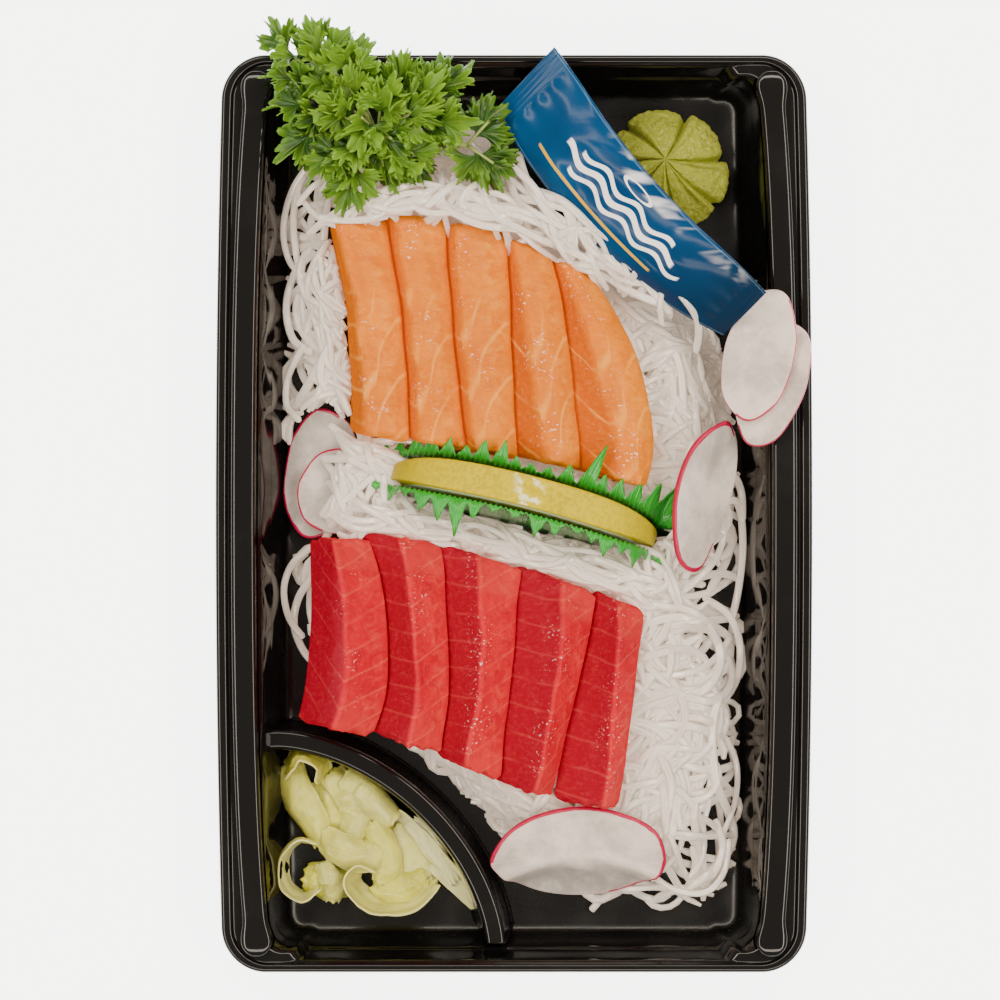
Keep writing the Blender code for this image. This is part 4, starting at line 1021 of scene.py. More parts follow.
# tips of the sprig: x, y, z, heading, pitch, size, and how pale its leaflets are
parsley = dict(seed=21, root=(-32.0, 89.0, 25.6), sideRoot=(-11.0, 86.0, 26.4),
               tips=((-55.0, 110.0, 28.0, 125, 10, 8.6, 0.8), (-47.0, 110.5, 30.0, 96, 12, 8.8, 0.8),
                     (-40.5, 108.0, 29.0, 58, 8, 9.4, 0.75), (-54.0, 103.0, 27.5, 165, 4, 8.6, 0.6),
                     (-47.0, 103.0, 29.0, 120, 14, 8.2, 0.5), (-52.5, 96.5, 27.0, 200, 0, 8.6, 0.45),
                     (-51.0, 88.0, 27.5, 205, 2, 9.4, 0.5), (-43.5, 94.0, 31.5, 150, 20, 8.6, 0.5),
                     (-38.5, 99.5, 31.0, 100, 16, 9.6, 0.5), (-35.5, 92.0, 33.0, 250, 24, 9.4, 0.35),
                     (-45.0, 82.0, 29.5, 225, 2, 9.4, 0.5), (-39.0, 75.5, 30.5, 250, -2, 9.6, 0.6),
                     (-37.5, 84.5, 31.5, 235, 12, 9.0, 0.4), (-30.5, 80.5, 31.0, 285, 4, 10.0, 0.45),
                     (-28.5, 87.0, 32.5, 320, 18, 9.0, 0.35), (-25.5, 103.0, 30.0, 84, 8, 10.0, 0.55),
                     (-30.5, 98.0, 32.0, 60, 20, 9.4, 0.5), (-16.0, 100.0, 29.5, 40, 8, 10.4, 0.5),
                     (-22.0, 94.0, 31.5, 20, 16, 9.6, 0.35), (-14.5, 92.0, 28.5, 350, 2, 9.6, 0.5),
                     (-20.5, 82.0, 29.5, 290, 2, 9.6, 0.6), (-26.0, 79.0, 29.0, 270, 0, 8.0, 0.45),
                     (-5.8, 91.5, 28.8, 62, 4, 10.2, 0.5), (-4.8, 81.6, 28.6, 300, 0, 10.2, 0.65)))


def leaflet(size, chance):  # curly fan of three wedges opening along +X, each with rounded teeth
    columns, rows, lobes = 57, 9, 3
    phase, curl, cup = chance.uniform(0, 6), chance.uniform(0.8, 1.9), chance.uniform(-0.10, 0.22)
    opening, shift = chance.uniform(48, 64), chance.uniform(-0.04, 0.04)
    points, labels = [], []
    for i in range(rows):
        t = (i / (rows - 1)) ** 0.85
        for j in range(columns):
            side = 2 * j / (columns - 1) - 1
            share = (side + 1) / 2
            lobe = abs((share + shift) * lobes % 1.0 - 0.5) * 2
            teeth = share * 13.0 + 0.5 + 0.3 * math.sin(5 * side + phase)
            tooth = abs(teeth % 1.0 - 0.5) * 2
            ragged = uneven(side * 5, phase, 0)
            reach = (0.70 + 0.30 * (1 - lobe ** 3)) * (0.80 + 0.20 * (1 - tooth ** 2))
            reach *= (1 - 0.28 * side * side) * (1 + 0.25 * ragged)
            radius = size * t * (1 - (1 - reach) * t ** 0.8)
            angle = math.radians(opening) * side * (0.38 + 0.62 * t ** 0.7)
            x, y = radius * math.cos(angle), radius * math.sin(angle)
            trough = 0.08 * size * t * (lobe ** 2 - 0.4)
            wave = curl * t * t * math.sin(5.0 * side + phase)
            ruffle = 1.1 * t ** 4 * math.sin(15 * side + 2 * phase)
            wave += ruffle + 0.45 * t ** 6 * math.sin(37 * side + phase)
            droop = -0.22 * size * max(t - 0.55, 0) ** 1.5 * (1 + math.sin(phase))
            points.append((x, y, wave + trough + droop + cup * size * t * t))
            labels.append((t, side, 1 - lobe))
    return np.array(points), gridFaces(rows, columns), labels


def tube(path, radius, sides=8):
    rings = []
    for i, point in enumerate(path):
        ahead = (path[min(i + 1, len(path) - 1)] - path[max(i - 1, 0)]).normalized()
        first = ahead.cross(Vector((0.3, 0.2, 1.0))).normalized()
        second = ahead.cross(first)
        ring = []
        for k in range(sides):
            angle = math.tau * k / sides
            ring.append(tuple(point + (first * math.cos(angle) + second * math.sin(angle)) * radius))
        rings.append(ring)
    return capped(rings)


def stalk(start, end, lift, drop, count):  # middle line of a stem, bowed up or down on its way
    return [start.lerp(end, f) + Vector((0, 0, lift * math.sin(math.pi * f) - drop))
            for f in np.linspace(0, 1, count)]


def parsleyMaterial():
    material, tree, body = shader("parsleyLeaf", roughness=0.3, ior=1.4, specularLevel=0.35,
                                  subsurfaceWeight=0.1, subsurfaceRadius=(0.5, 1.0, 0.2),
                                  subsurfaceScale=0.0006)
    parts, tint = carried(tree, "leaf"), carried(tree, "tint")[3]
    # the tint carries painted shade: lower leaflets are darker
    colour = blend(tint, (0.006, 0.036, 0.003), (0.15, 0.29, 0.018))
    colour = blend(soften(grain(tree, 240.0), 0.35, 0.7) * 0.6, colour, (0.055, 0.15, 0.018))
    # painted highlight: lighter towards the leaflet tips
    colour = blend(soften(parts[0], 0.6, 1.0) * 0.4, colour, (0.19, 0.37, 0.025))
    # painted shade: darker near each leaflet's base, inside the sprig
    colour = blend(soften(parts[0], 0.45, 0.0), colour, (0.02, 0.075, 0.008))
    veins = soften(parts[2], 0.82, 1.0) * soften(parts[0], 1.0, 0.5)
    colour = blend(veins * 0.35, colour, (0.34, 0.42, 0.12))
    join(colour, body.inputs["Base Color"])
    low = relief(body, veins, 0.12, 0.6)
    relief(body, grain(tree, 700.0, 3.0), 0.1, 0.5, low)
    return material


def buildParsley():
    chance = random.Random(parsley["seed"])
    leaves, stems = Gathering(), Gathering()
    root, sideRoot = Vector(parsley["root"]), Vector(parsley["sideRoot"])
    for number, (x, y, z, heading, pitch, size, pale) in enumerate(parsley["tips"]):
        tip = Vector((x, y, z))
        start = sideRoot if number >= len(parsley["tips"]) - 2 else root
        stems.add(*tube(stalk(start, tip, 0.8, 0.8, 9), 0.36))
        fans = [(0, 0.0, 1.0), (62, 0.10, 0.88), (-60, 0.14, 0.86),
                (chance.uniform(-30, 30), 0.42, 0.95)]
        for turn, back, scale in fans[:4 if number % 3 else 3]:
            points, faces, labels = leaflet(size * 1.02 * scale * chance.uniform(0.86, 1.1), chance)
            spot = tip.lerp(start, back * 0.6) - (tip - start).normalized() * 3.4
            place = placed(*spot, heading + turn + chance.uniform(-16, 16),
                           pitch + chance.uniform(-18, 30), chance.uniform(-34, 34))
            moved = np.array([tuple(place @ Vector(point)) for point in points])
            moved[:, 2] = np.clip(moved[:, 2], 23.4, 37.0)
            # painted shade: the tint falls with height, darkening the lower leaflets deeper in the
            # sprig
            tone = pale + chance.uniform(-0.35, 0.25) + (moved[:, 2] - 30.0) * 0.17
            leaves.add(moved, faces, leaf=labels, tint=np.clip(tone, 0, 1))
    stems.add(*tube(stalk(sideRoot, root, -0.8, 0.0, 12), 0.7))
    thicken(addPiece("parsleyLeaves", leaves.mesh("parsleyLeaves"), parsleyMaterial(), "parsley",
                     "parsley"), 0.15)
    stem, tree, body = shader("parsleyStem", roughness=0.4)
    tone = grain(tree, 500.0, stretch=(1.0, 1.0, 0.3))
    join(blend(tone, (0.2, 0.28, 0.06), (0.34, 0.42, 0.12)), body.inputs["Base Color"])
    relief(body, tone, 0.1, 0.5)
    addPiece("parsleyStems", stems.mesh("parsleyStems"), stem, "parsley")


# sheets of ginger: path, widths along it, arc across it in degrees, roll at its start and end
ginger = dict(thick=0.4, low=1.25, sheets=(
    (((-28.5, -72.5, 3.4), (-22.0, -79.0, 3.2), (-15.0, -87.0, 3.6), (-9.0, -95.0, 2.6)),
     (7.0, 7.0, 2.6), 60, -35, -20),
    (((-25.0, -74.0, 5.0), (-19.5, -81.0, 5.4), (-14.0, -89.0, 4.4)), (4.5, 5.5, 2.2), -80,
     -20, -10),
    (((-48.5, -65.0, 3.5), (-41.0, -72.0, 5.0), (-33.0, -80.0, 4.2)), (15.0, 19.0, 15.0),
     -70, 8, -6),
    (((-27.5, -75.0, 3.2), (-24.5, -83.0, 4.6), (-21.0, -92.0, 2.8)), (11.0, 12.5, 8.0),
     -80, 10, 10),
    (((-50.5, -87.5, 4.2), (-44.5, -88.4, 6.0), (-37.0, -89.2, 3.8)), (10.5, 12.5, 10.0),
     -140, 4, -10),
    (((-41.0, -63.0, 6.8), (-35.0, -67.0, 8.6), (-28.0, -73.5, 6.8)), (12.5, 14.5, 12.0),
     -205, 12, 22),
    (((-54.4, -61.8, 6.5), (-51.3, -57.6, 8.4), (-46.6, -59.2, 7.6), (-46.0, -63.6, 5.6)),
     (7.5, 9.0, 7.0), 30, 66, 60),
    (((-54.0, -60.0, 5.6), (-52.5, -67.0, 7.8), (-49.2, -73.5, 7.2), (-46.4, -80.0, 4.8)),
     (8.5, 10.0, 8.0), -120, -10, -24),
    (((-47.2, -79.2, 5.2), (-51.8, -78.4, 5.8), (-55.6, -83.0, 5.6), (-55.0, -89.2, 5.4),
      (-50.8, -92.2, 5.4), (-47.0, -89.4, 5.2)), (7.5, 9.0, 7.5), 20, 80, 72),
    (((-46.5, -78.0, 6.4), (-41.5, -80.5, 8.8), (-35.0, -81.5, 8.2), (-30.5, -78.0, 6.2)),
     (8.0, 10.0, 7.5), -95, -20, 25),
    (((-33.0, -85.8, 7.4), (-37.0, -84.4, 7.6), (-39.2, -88.2, 7.4), (-36.2, -92.2, 6.8),
      (-31.4, -94.4, 6.4), (-24.6, -93.6, 6.0), (-18.8, -88.6, 4.8)), (6.5, 8.5, 5.5), 30,
     74, 48),
    (((-34.0, -89.6, 4.8), (-28.0, -90.2, 6.4), (-21.2, -87.0, 5.0)), (9.0, 11.0, 8.0),
     -110, -8, 12),
    (((-44.0, -62.0, 5.0), (-39.0, -66.5, 7.4), (-37.5, -72.0, 7.6), (-40.0, -77.5, 6.4)),
     (8.0, 9.5, 7.0), -100, 26, -10),
    (((-34.5, -74.5, 7.0), (-31.5, -79.5, 8.0), (-30.0, -85.0, 7.4), (-31.5, -89.0, 6.4)),
     (7.0, 9.0, 7.0), -130, -14, 16),
    (((-45.5, -83.5, 6.6), (-43.5, -88.5, 7.6), (-44.5, -93.0, 5.0)), (6.5, 8.5, 7.0), -150,
     20, -16)),
    # how pale each sheet is
    pale=(0.8, 0.9, 0.1, 0.35, 0.0, 0.3, 0.1, 0.15, 0.5, 0.2, 0.3, 0.0, 0.25, 0.1, 0.3))


def ribbonSheet(path, widths, arc, rollStart, rollEnd, wobble, rows=60, columns=30):
    line = throughPoints(path, rows)
    points, labels = [], []
    for i, point in enumerate(line):
        t = i / (rows - 1)
        ahead = (line[min(i + 1, rows - 1)] - line[max(i - 1, 0)]).normalized()
        side = ahead.cross(Vector((0, 0, 1))).normalized()
        across, high = rolled(side, side.cross(ahead), mix(rollStart, rollEnd, t))
        wide = threeWay(widths, t) * (1 + 0.08 * uneven(t * 6, wobble, 0))
        wide *= 0.80 + 0.20 * math.sin(math.pi * t) ** 0.4
        bend = math.radians(arc * (1 + 0.25 * uneven(t * 3, wobble, 5)))
        radius = wide / bend
        for j in range(columns):
            u = 2 * j / (columns - 1) - 1
            angle = u * bend / 2
            ripple = 0.8 * uneven(t * 5, u * 1.6, wobble) + 0.2 * uneven(t * 18, u * 4, wobble)
            ragged = 1.3 * uneven(u * 3.5, wobble, 2 + 3 * (i > rows // 2)) * (i in (0, rows - 1))
            lift = radius * (1 - math.cos(angle)) + ripple
            points.append(point + across * (radius * math.sin(angle)) + high * lift + ahead * ragged)
            labels.append((t, u, wobble))
    return [tuple(point) for point in points], gridFaces(rows, columns), labels


def buildGinger():
    material, tree, body = shader("gingerSheet", roughness=0.3, ior=1.4, coatWeight=0.25,
                                  coatRoughness=0.08, subsurfaceWeight=0.6,
                                  subsurfaceRadius=(1.0, 0.9, 0.35), subsurfaceScale=0.002)
    parts, tone = carried(tree, "sheet"), carried(tree, "tone")[3]
    line = wire(tree, "ShaderNodeCombineXYZ", 0, {0: parts[0], 1: parts[1], 2: parts[2]})
    fibres = grain(tree, 1.0, 4.0, 0.6, vector=line, stretch=(2.0, 26.0, 3.0), distortion=0.4)
    colour = blend(soften(grain(tree, 120.0), 0.35, 0.68), (0.62, 0.6, 0.05),
                   (0.4, 0.38, 0.03))
    colour = blend(tone, colour, (0.74, 0.72, 0.36))
    colour = blend(soften(fibres, 0.5, 0.72) * 0.55, colour, (0.86, 0.83, 0.3))
    # painted highlight: the sheets are lighter along their thin edges
    edge = soften(abs(parts[1]), 0.8, 1.0)
    colour = blend(edge * 0.6, colour, (0.93, 0.88, 0.34))
    join(colour, body.inputs["Base Color"])
    low = relief(body, fibres, 0.22, 0.6)
    relief(body, grain(tree, 240.0, 3.0), 0.25, 0.5, low)
    for number, (sheet, pale) in enumerate(zip(ginger["sheets"], ginger["pale"])):
        points, faces, labels = ribbonSheet(*sheet, wobble=number * 3.7 + 1.3)
        points = np.array(points)
        points[:, 2] = np.maximum(points[:, 2], ginger["low"])
        name = f"gingerSheet{number + 1}"
        mesh = makeMesh(name, points, faces, {"sheet": labels, "tone": [pale] * len(points)})
        thicken(addPiece(name, mesh, material, "ginger"), ginger["thick"])


daikon = dict(
    seed=12, strands=3300, halfWidth=0.98, flatness=0.42, inPiece=850, step=2.1, steps=26, thinning=0.9,
    outline=((-50, 72), (-43, 82), (-26, 87), (-12, 91), (-1, 78), (15, 64), (33, 52), (46, 38),
             (50, 14), (50.5, -10), (51.5, -30), (50.5, -60), (49, -86), (38, -92), (22, -90),
             (5, -80), (-8, -66), (-24, -53), (-40, -36), (-49.5, -14), (-51.5, 14), (-51.5, 46)),
    # scale of the outline for each ring of the core, and how far it lies under the strands
    core=((0.84, None), (0.88, 5.4), (0.87, 3.4), (0.8, 2.2), (0.66, 2.2), (0.5, 2.2), (0.34, 2.2),
          (0.16, 2.2)),
    # single strands that lie over the rest or stray from it: points of each
    strays=(
        ((-40, 69, 27.5), (-35, 72, 28.4), (-28, 70.5, 29.6), (-22, 72, 28.8), (-17, 77, 22)),
        ((-33, 76, 24), (-26, 73, 28.6), (-20, 70, 29.6), (-12, 70.5, 28.8), (-5, 73, 22)),
        ((-22, 75, 25), (-16, 71, 29.2), (-9, 67.5, 29.8), (-2, 66.5, 28.8), (5, 68, 21)),
        ((-12, 76, 22), (-6, 70, 28.4), (1, 66.5, 28.8), (7, 63.5, 28.0), (13, 62, 22)),
        ((-48, 84, 12), (-53, 77, 9), (-55.2, 68, 7), (-53.5, 60, 8), (-49, 56, 12)),
        ((-44, 86, 14), (-50, 81, 10), (-52.6, 72, 9), (-52, 62, 9), (-50, 54, 10), (-51.5, 46, 7)),
        ((-47, 62, 14), (-52, 58, 9), (-54.5, 50, 6), (-53, 42, 8), (-48, 38, 13)),
        ((-50, 40, 12), (-54, 33, 6), (-54.5, 26, 5), (-51, 22, 9)),
        ((-48, -8, 13), (-53, -12, 7), (-55.2, -18, 5), (-54, -25, 5), (-50.5, -30, 4)),
        ((-47, -14, 12), (-51.5, -20, 6), (-52.8, -27, 4), (-50, -34, 3), (-45, -38, 3)),
        ((46, -2, 14), (51.5, 3, 9), (54.2, 1, 6), (55.0, -8, 5), (54, -18, 5), (52, -26, 8)),
        ((47, 6, 15), (52, 9, 10), (54.5, 5, 7), (54.8, -2, 6)),
        ((45, -20, 14), (51, -24, 10), (54.2, -31, 6), (53.5, -40, 5), (49, -46, 10)),
        ((44, -48, 13), (50, -53, 9), (53.4, -60, 6), (53.2, -69, 5), (50, -77, 7)),
        ((30, -84, 9), (38, -90, 6), (46, -91, 5), (50.5, -86, 5), (51.5, -78, 7)),
        ((34, -78, 10), (40, -86, 7), (47, -87, 6), (50, -80, 7), (48, -73, 10)),
        ((26, -84, 7), (23.5, -89.5, 4), (20.5, -93.5, 2.6), (18.6, -95.8, 2.2)),
        ((-22, -50, 9), (-19, -56, 6), (-15, -60, 4), (-12.6, -66, 3)),
        ((-14, -58, 9), (-10, -64, 6), (-3, -68, 5), (4, -75, 4)),
        ((-2, 80, 22), (4, 74, 25.5), (10, 69.5, 27.5), (17, 64, 28.5), (22, 57, 25)),
        ((-4, 84, 21), (1, 80, 25), (5, 75.5, 28), (9, 69, 27), (12, 62, 22)),
        ((4, 76, 23), (11, 73, 28), (18, 67, 28.6), (25, 62, 28), (30, 55, 22)),
        ((14, 68, 25), (22, 66, 28.6), (29, 60, 28.4), (35, 53, 27), (37, 46, 20)),
        ((24, 60, 26), (31, 58.5, 28.6), (38, 52, 28.4), (43, 45, 25), (43, 38, 18)),
        ((-20, -2.5, 18), (-12, -6, 19), (-3, -8, 18.5), (6, -12, 18)),
        ((0, -4.5, 19), (9, -8, 19), (18, -9, 18.6), (27, -13, 17))),
    # tufts of strands over other food: middle, half size along and across, heading, height there and at
    # the edge, how many, how far their headings stray
    tufts=(
        ((-37.0, 7.0), 9.0, 4.2, 68, 15.6, 13.4, 34, 35),
        ((-33.0, 12.5), 7.0, 3.0, -25, 16.6, 14.5, 14, 30),
        ((-14.0, -4.8), 24.0, 2.6, -13, 19.6, 16.0, 40, 22),
        ((15.0, -12.4), 22.0, 2.6, -16, 19.8, 16.0, 40, 22),
        ((33.0, -15.0), 8.0, 4.0, -40, 18.0, 15.5, 16, 50),
        ((-28.0, 73.0), 15.0, 3.2, 2, 29.0, 25.0, 24, 30),
        ((-4.0, 70.5), 12.0, 3.4, -20, 29.0, 25.0, 22, 35),
        ((12.0, 67.0), 12.0, 4.2, -42, 28.4, 24.5, 26, 35),
        ((30.0, 56.0), 12.0, 4.0, -50, 27.5, 23.5, 22, 30)))


def strandTree(material):  # polylines become flattened strands, realized, with their material
    tree = bpy.data.node_groups.new("strands", "GeometryNodeTree")
    face = tree.interface
    face.new_socket("Geometry", in_out="INPUT", socket_type="NodeSocketGeometry")
    width = face.new_socket("Half Width", in_out="INPUT", socket_type="NodeSocketFloat")
    flat = face.new_socket("Flatness", in_out="INPUT", socket_type="NodeSocketFloat")
    face.new_socket("Geometry", in_out="OUTPUT", socket_type="NodeSocketGeometry")
    given = tree.nodes.new("NodeGroupInput").outputs
    curve = put(tree, "GeometryNodeMeshToCurve", {"Mesh": given["Geometry"]})
    size = put(tree, "GeometryNodeInputNamedAttribute", {"Name": "size"}, data_type="FLOAT")
    scaled = put(tree, "ShaderNodeMath", {0: size.outputs["Attribute"], 1: given["Half Width"]},
                 operation="MULTIPLY")
    wide = put(tree, "GeometryNodeSetCurveRadius",
               {"Curve": curve.outputs["Curve"], "Radius": scaled.outputs[0]})
    ring = put(tree, "GeometryNodeCurvePrimitiveCircle", {"Resolution": 8, "Radius": 1.0})
    squash = put(tree, "ShaderNodeCombineXYZ", {"X": 1.0, "Y": given["Flatness"], "Z": 1.0})
    profile = put(tree, "GeometryNodeTransform",
                  {"Geometry": ring.outputs["Curve"], "Scale": squash.outputs[0]})
    upright = put(tree, "GeometryNodeSetCurveNormal", {"Curve": wide.outputs["Curve"]}, mode="Z_UP")
    made = put(tree, "GeometryNodeCurveToMesh",
               {"Curve": upright.outputs["Curve"], "Profile Curve": profile.outputs["Geometry"],
                "Fill Caps": True})
    if "Scale" in made.inputs:
        join(put(tree, "GeometryNodeInputRadius").outputs[0], made.inputs["Scale"])
    shaded = put(tree, "GeometryNodeSetShadeSmooth", {"Geometry": made.outputs["Mesh"]})
    real = put(tree, "GeometryNodeRealizeInstances", {"Geometry": shaded.outputs["Geometry"]})
    dressed = put(tree, "GeometryNodeSetMaterial",
                  {"Geometry": real.outputs["Geometry"], "Material": material})
    join(dressed.outputs["Geometry"], tree.nodes.new("NodeGroupOutput").inputs["Geometry"])
    return tree, width.identifier, flat.identifier


def strandPiece(name, strands, sizes, tones, tree, widthKey, flatKey):
    points, edges, size, tone = [], [], [], []
    for path, thick, shade in zip(strands, sizes, tones):
        start = len(points)
        points += [tuple(coordinate * mm for coordinate in point) for point in path]
        edges += [(start + k, start + k + 1) for k in range(len(path) - 1)]
        size += [thick * (0.55 if k in (0, len(path) - 1) else 1.0) for k in range(len(path))]
        tone += [shade] * len(path)
    mesh = bpy.data.meshes.new(name)
    mesh.from_pydata(points, edges, [])
    for key, values in (("size", size), ("tone", tone)):
        layer = mesh.attributes.new(key, "FLOAT", "POINT")
        layer.data.foreach_set("value", np.array(values, dtype=np.float32))
    piece = addPiece(name, mesh, None, "daikon")
    step = piece.modifiers.new("Strands", "NODES")
    step.node_group = tree
    step[widthKey] = daikon["halfWidth"] * mm
    step[flatKey] = daikon["flatness"]
    bake(piece)


def daikonMaterial():
    # painted glow: a faint warm emission stands in for light scattered through the strands
    material, tree, body = shader("daikonShred", roughness=0.1, ior=1.38, coatWeight=0.9,
                                  coatRoughness=0.03, transmissionWeight=0.35,
                                  emissionColor=(1.0, 0.76, 0.6), emissionStrength=0.09)
    shade = carried(tree, "tone")[3]
    colour = blend(shade, (0.82, 0.77, 0.7), (1.0, 0.96, 0.9))
    colour = blend(soften(grain(tree, 120.0), 0.35, 0.7) * 0.6, colour, (0.95, 0.89, 0.81))
    # painted highlight: strands are lighter where their surface turns away from the view
    edge = soften(wire(tree, "ShaderNodeLayerWeight", "Facing", {"Blend": 0.35}), 0.15, 0.75)
    colour = blend(edge, colour, (1.0, 0.96, 0.9))
    join(colour, body.inputs["Base Color"])
    # light goes clear through the first strand only, those behind it scatter it
    first = calc("LESS_THAN", wire(tree, "ShaderNodeLightPath", "Transmission Depth"), 1.5)
    join((0.45 - edge * 0.35) * first, body.inputs["Transmission Weight"])
    relief(body, grain(tree, 900.0, 2.0), 0.16, 0.6)
    return material


def heapFields():
    # grids a millimetre apart: inside distance of the heap's outline, its height, and what lies above
    line = throughPoints([(x, y, 0) for x, y in daikon["outline"]], 160, True)
    corners = np.array([(p.x, p.y) for p in line])
    xs, ys = np.arange(-60, 61.0), np.arange(-102, 99.0)
    x, y = np.meshgrid(xs, ys, indexing="ij")
    distance = np.full(x.shape, 1e9)
    crossings = np.zeros(x.shape, dtype=int)
    for a, b in zip(corners, np.roll(corners, -1, axis=0)):
        edge = b - a
        t = np.clip(((x - a[0]) * edge[0] + (y - a[1]) * edge[1]) / (edge @ edge), 0, 1)
        distance = np.minimum(distance, np.hypot(x - a[0] - t * edge[0], y - a[1] - t * edge[1]))
        spans = (a[1] > y) != (b[1] > y)
        place = a[0] + (y - a[1]) / (edge[1] if abs(edge[1]) > 1e-9 else 1e-9) * edge[0]
        crossings += spans & (x < place)
    distance = np.where(crossings % 2 == 1, distance, -distance)
    height = 15.0 + 1.4 * np.sin(x * 0.13 + 1.0) * np.cos(y * 0.11) + 0.9 * np.sin(x * 0.31 - y * 0.27)
    height -= np.clip(-70 - y, 0, None) * 0.22
    height = np.where(distance > -1, height - 11.5 * np.exp(-np.clip(distance + 1, 0, None) / 3.2), 2.2)
    covers = ("salmon", "tuna", "lemon", "radish", "saucePacket", "grass")
    above = treeOf([finished[name][0].data for name in finished if name.startswith(covers)])
    roof = np.full(x.shape, 60.0)
    for i, j in np.argwhere(distance > -6):
        hit = above.ray_cast(Vector((xs[i], ys[j], 1.0)), Vector((0, 0, 1)))[0]
        if hit:
            roof[i, j] = hit.z
    return xs, ys, distance, height, roof


def buildDaikon():
    chance = np.random.default_rng(daikon["seed"])
    xs, ys, distance, height, roof = heapFields()
    slopeX, slopeY = np.gradient(distance)

    def read(field, x, y):
        u = np.clip(x - xs[0], 0, len(xs) - 1.001)
        v = np.clip(y - ys[0], 0, len(ys) - 1.001)
        i, j = u.astype(int), v.astype(int)
        fu, fv = u - i, v - j
        return (field[i, j] * (1 - fu) * (1 - fv) + field[i + 1, j] * fu * (1 - fv)
                + field[i, j + 1] * (1 - fu) * fv + field[i + 1, j + 1] * fu * fv)

    def nearest(field, x, y):
        return field[np.clip(np.rint(x - xs[0]).astype(int), 0, len(xs) - 1),
                     np.clip(np.rint(y - ys[0]).astype(int), 0, len(ys) - 1)]

    inside = np.argwhere(distance > 0.5)
    chosen = inside[chance.integers(0, len(inside), daikon["strands"])]
    x = xs[chosen[:, 0]] + chance.uniform(-0.5, 0.5, len(chosen))
    y = ys[chosen[:, 1]] + chance.uniform(-0.5, 0.5, len(chosen))
    flow = 1.3 + 2.4 * np.sin(x * 0.052 + 1.3) + 2.0 * np.cos(y * 0.046 - 0.7)
    heading = flow + chance.normal(0, 0.75, len(x))
    bend = chance.normal(0, 0.055, len(x))
    swing, swingPhase = chance.uniform(0.02, 0.09, len(x)), chance.uniform(0, math.tau, len(x))
    level = 1.2 - np.abs(chance.normal(0, 1.9, len(x)))
    sway, phase = chance.uniform(0.2, 1.1, len(x)), chance.uniform(0, math.tau, len(x))
    lengths = chance.integers(10, daikon["steps"] + 1, len(x))
    track = []
    for k in range(daikon["steps"]):
        z = read(height, x, y) + level + sway * np.sin(phase + k * 0.55)
        track.append(np.stack([x, y, z], axis=1))
        rim = read(distance, x, y)
        inward = np.arctan2(read(slopeY, x, y), read(slopeX, x, y))
        turn = (inward - heading + math.pi) % math.tau - math.pi
        steer = np.clip((2.0 - rim) / 6.0, 0.0, 1.0)
        bending = bend + swing * np.sin(swingPhase + k * 0.4)
        steer = steer * 0.55 * np.sign(turn) * (np.abs(turn) > 0.9)
        heading = heading + daikon["step"] * bending + steer
        x = x + daikon["step"] * np.cos(heading)
        y = y + daikon["step"] * np.sin(heading)
    track = np.stack(track, axis=1)

    strands, sizes, tones = [], [], []
    for path, length in zip(track, lengths):
        path = path[:length]
        # the heap is loose along its left and right sides and at its near right corner
        midX, midY = path[:, 0].mean(), path[:, 1].mean()
        loosely = smooth(36, 43, midX) * smooth(12, -6, midY)
        loosely += smooth(-66, -78, midY) * smooth(20, 30, midX)
        if chance.uniform() < daikon["thinning"] * min(loosely + smooth(-37, -43, midX), 1.0):
            continue
        for _ in range(2):
            path[1:-1, 2] = (path[:-2, 2] + path[1:-1, 2] * 2 + path[2:, 2]) / 4
        path[:, 2] = np.maximum(path[:, 2], 1.9)
        x, y, z = path.T
        free = (nearest(roof, x, y) > z + 0.7) & (read(distance, x, y) > -4.2)
        best, run = (0, 0), 0
        for k, ok in enumerate(np.append(free, False)):
            if ok:
                run += 1
            else:
                if run > best[1] - best[0]:
                    best = (k - run, k)
                run = 0
        if best[1] - best[0] > 3:
            strands.append([tuple(point) for point in path[best[0]:best[1]]])
            sizes.append(float(chance.uniform(0.66, 1.15)))
            tones.append(float(chance.uniform(0, 1)))
    loose = list(daikon["strays"])
    for (midX, midY), reach, spread, course, top, low, count, stray in daikon["tufts"]:
        for _ in range(count):
            u, v = chance.uniform(-1, 1), chance.uniform(-1, 1)
            turn, aim = math.radians(course), math.radians(course + chance.normal(0, stray))
            startX = midX + reach * u * math.cos(turn) - spread * v * math.sin(turn)
            startY = midY + reach * u * math.sin(turn) + spread * v * math.cos(turn)
            length, bow, high = chance.uniform(5, 11), chance.normal(0, 1.8), chance.uniform(-0.8, 0.6)
            path = []
            for f in np.linspace(-1, 1, 5):
                x = startX + length * f * math.cos(aim) - bow * (1 - f * f) * math.sin(aim)
                y = startY + length * f * math.sin(aim) + bow * (1 - f * f) * math.cos(aim)
                along = (x - midX) * math.cos(turn) + (y - midY) * math.sin(turn)
                across = (y - midY) * math.cos(turn) - (x - midX) * math.sin(turn)
                out = max(abs(along) / (reach + 2), abs(across) / (spread + 2))
                path.append((x, y, top + (low - top) * min(out, 1.2) ** 3 + high - 1.2 * f ** 4))
            loose.append(path)
    for points in loose:
        strands.append([tuple(point) for point in throughPoints(points, 5 * len(points))])
        sizes.append(float(chance.uniform(0.7, 1.0)))
        tones.append(float(chance.uniform(0.4, 1)))

    tree, widthKey, flatKey = strandTree(daikonMaterial())
    for number, first in enumerate(range(0, len(strands), daikon["inPiece"])):
        last = first + daikon["inPiece"]
        strandPiece(f"daikonShreds{number + 1}", strands[first:last], sizes[first:last],
                    tones[first:last], tree, widthKey, flatKey)
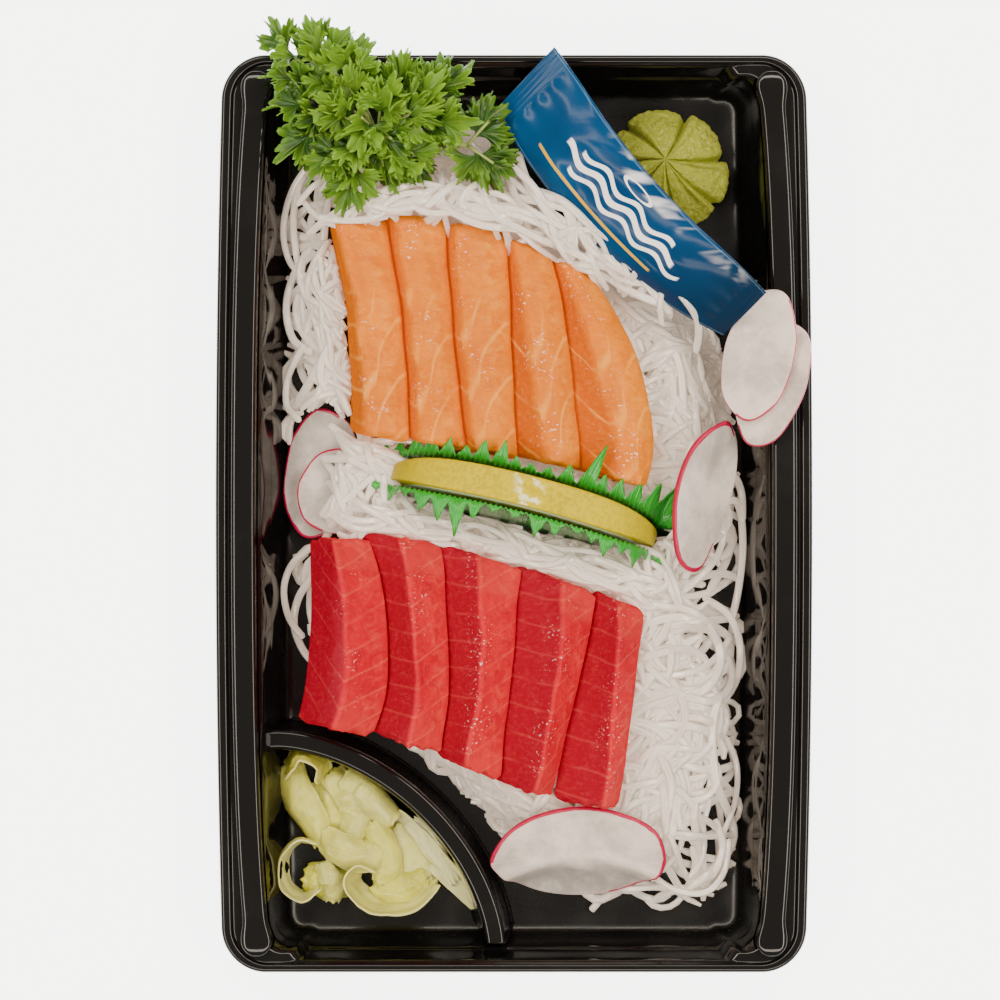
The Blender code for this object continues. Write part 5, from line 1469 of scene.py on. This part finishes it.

    # a lower core closes the heap underneath; its dark colour is painted shade for the depth of the
    # heap
    outline = throughPoints([(x, y, 0) for x, y in daikon["outline"]], 120, True)
    centre = Vector((0.0, -4.0, 0.0))
    rings = []
    for scale, lift in daikon["core"]:
        ring = []
        for p in outline:
            spot = centre + (p - centre) * scale
            spot.x = max(min(spot.x, 33.0 if spot.y < 5 else 40.0), -37.0)
            at = np.array([spot.x]), np.array([spot.y])
            z = 1.2
            if lift is not None:
                z = max(min(read(height, *at)[0], nearest(roof, *at)[0]) - lift, 1.6)
            ring.append((spot.x, spot.y, z))
        rings.append(ring)
    core, tree, body = shader("daikonCore", roughness=0.4, subsurfaceWeight=0.3, subsurfaceScale=0.004)
    tone = grain(tree, 420.0, 4.0, stretch=(1.0, 0.4, 1.0))
    # painted shade: the core is much darker than the strands above it
    join(blend(tone, (0.22, 0.2, 0.17), (0.55, 0.5, 0.43)), body.inputs["Base Color"])
    relief(body, tone, 0.8, 0.9)
    addPiece("daikonCore", makeMesh("daikonCore", *capped(rings)), core, "daikon")


studio = dict(
    world=0.42, glow=4.6, tint=(1.0, 0.89, 0.76),
    # place, length and width, and watts of each soft light; places in metres
    lights=(((-0.55, 0.0, 0.92), (1.3, 0.16), 9.5), ((0.55, 0.0, 0.92), (1.3, 0.16), 9.5),
            ((0.0, 0.6, 0.9), (0.9, 0.16), 5.5), ((0.0, -0.6, 0.9), (0.9, 0.16), 4.5)),
    camera=(-0.0033, 0.0032, 0.772), lens=115.0)


def buildStudio():
    half = 1.6 / mm
    corners = [(-half, -half, 0), (half, -half, 0), (half, half, 0), (-half, half, 0)]
    mesh = makeMesh("tableTop", corners, [(0, 1, 2, 3)])
    table = bpy.data.objects.new("tableTop", mesh)
    bpy.context.scene.collection.objects.link(table)
    mesh.materials.append(shader("paleTable", baseColor=(0.9, 0.9, 0.9), roughness=0.9,
                                 emissionColor=(0.97, 1.0, 1.0),
                                 emissionStrength=studio["glow"])[0])
    world = bpy.data.worlds.new("studio")
    world.use_nodes = True
    world.node_tree.nodes["Background"].inputs["Color"].default_value = (*studio["tint"], 1.0)
    world.node_tree.nodes["Background"].inputs["Strength"].default_value = studio["world"]
    bpy.context.scene.world = world
    for number, (place, extent, power) in enumerate(studio["lights"]):
        light = bpy.data.lights.new(f"softBox{number + 1}", "AREA")
        light.shape = "RECTANGLE"
        light.energy = power
        light.color = studio["tint"]
        lamp = bpy.data.objects.new(light.name, light)
        bpy.context.scene.collection.objects.link(lamp)
        away = Vector(place).normalized()
        along = Vector((0, 1, 0)) if abs(place[0]) > abs(place[1]) else Vector((1, 0, 0))
        light.size, light.size_y = extent
        turned = Matrix((along, away.cross(along), away)).transposed()
        lamp.matrix_world = Matrix.Translation(place) @ turned.to_4x4()
    camera = bpy.data.cameras.new("camera")
    camera.lens = studio["lens"]
    camera.sensor_width = 36.0
    view = bpy.data.objects.new("camera", camera)
    view.location = studio["camera"]
    bpy.context.scene.collection.objects.link(view)
    bpy.context.scene.camera = view


builders = (buildTray, buildFish, buildLemon, buildGrass, buildRadish, buildWasabi, buildPacket,
            buildParsley, buildGinger, buildDaikon, buildStudio)
for build in builders:
    build()
    print("made:", build.__name__[5:].lower(), flush=True)

for piece, node, slot in finished.values():
    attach(piece, "root")
    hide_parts(node)
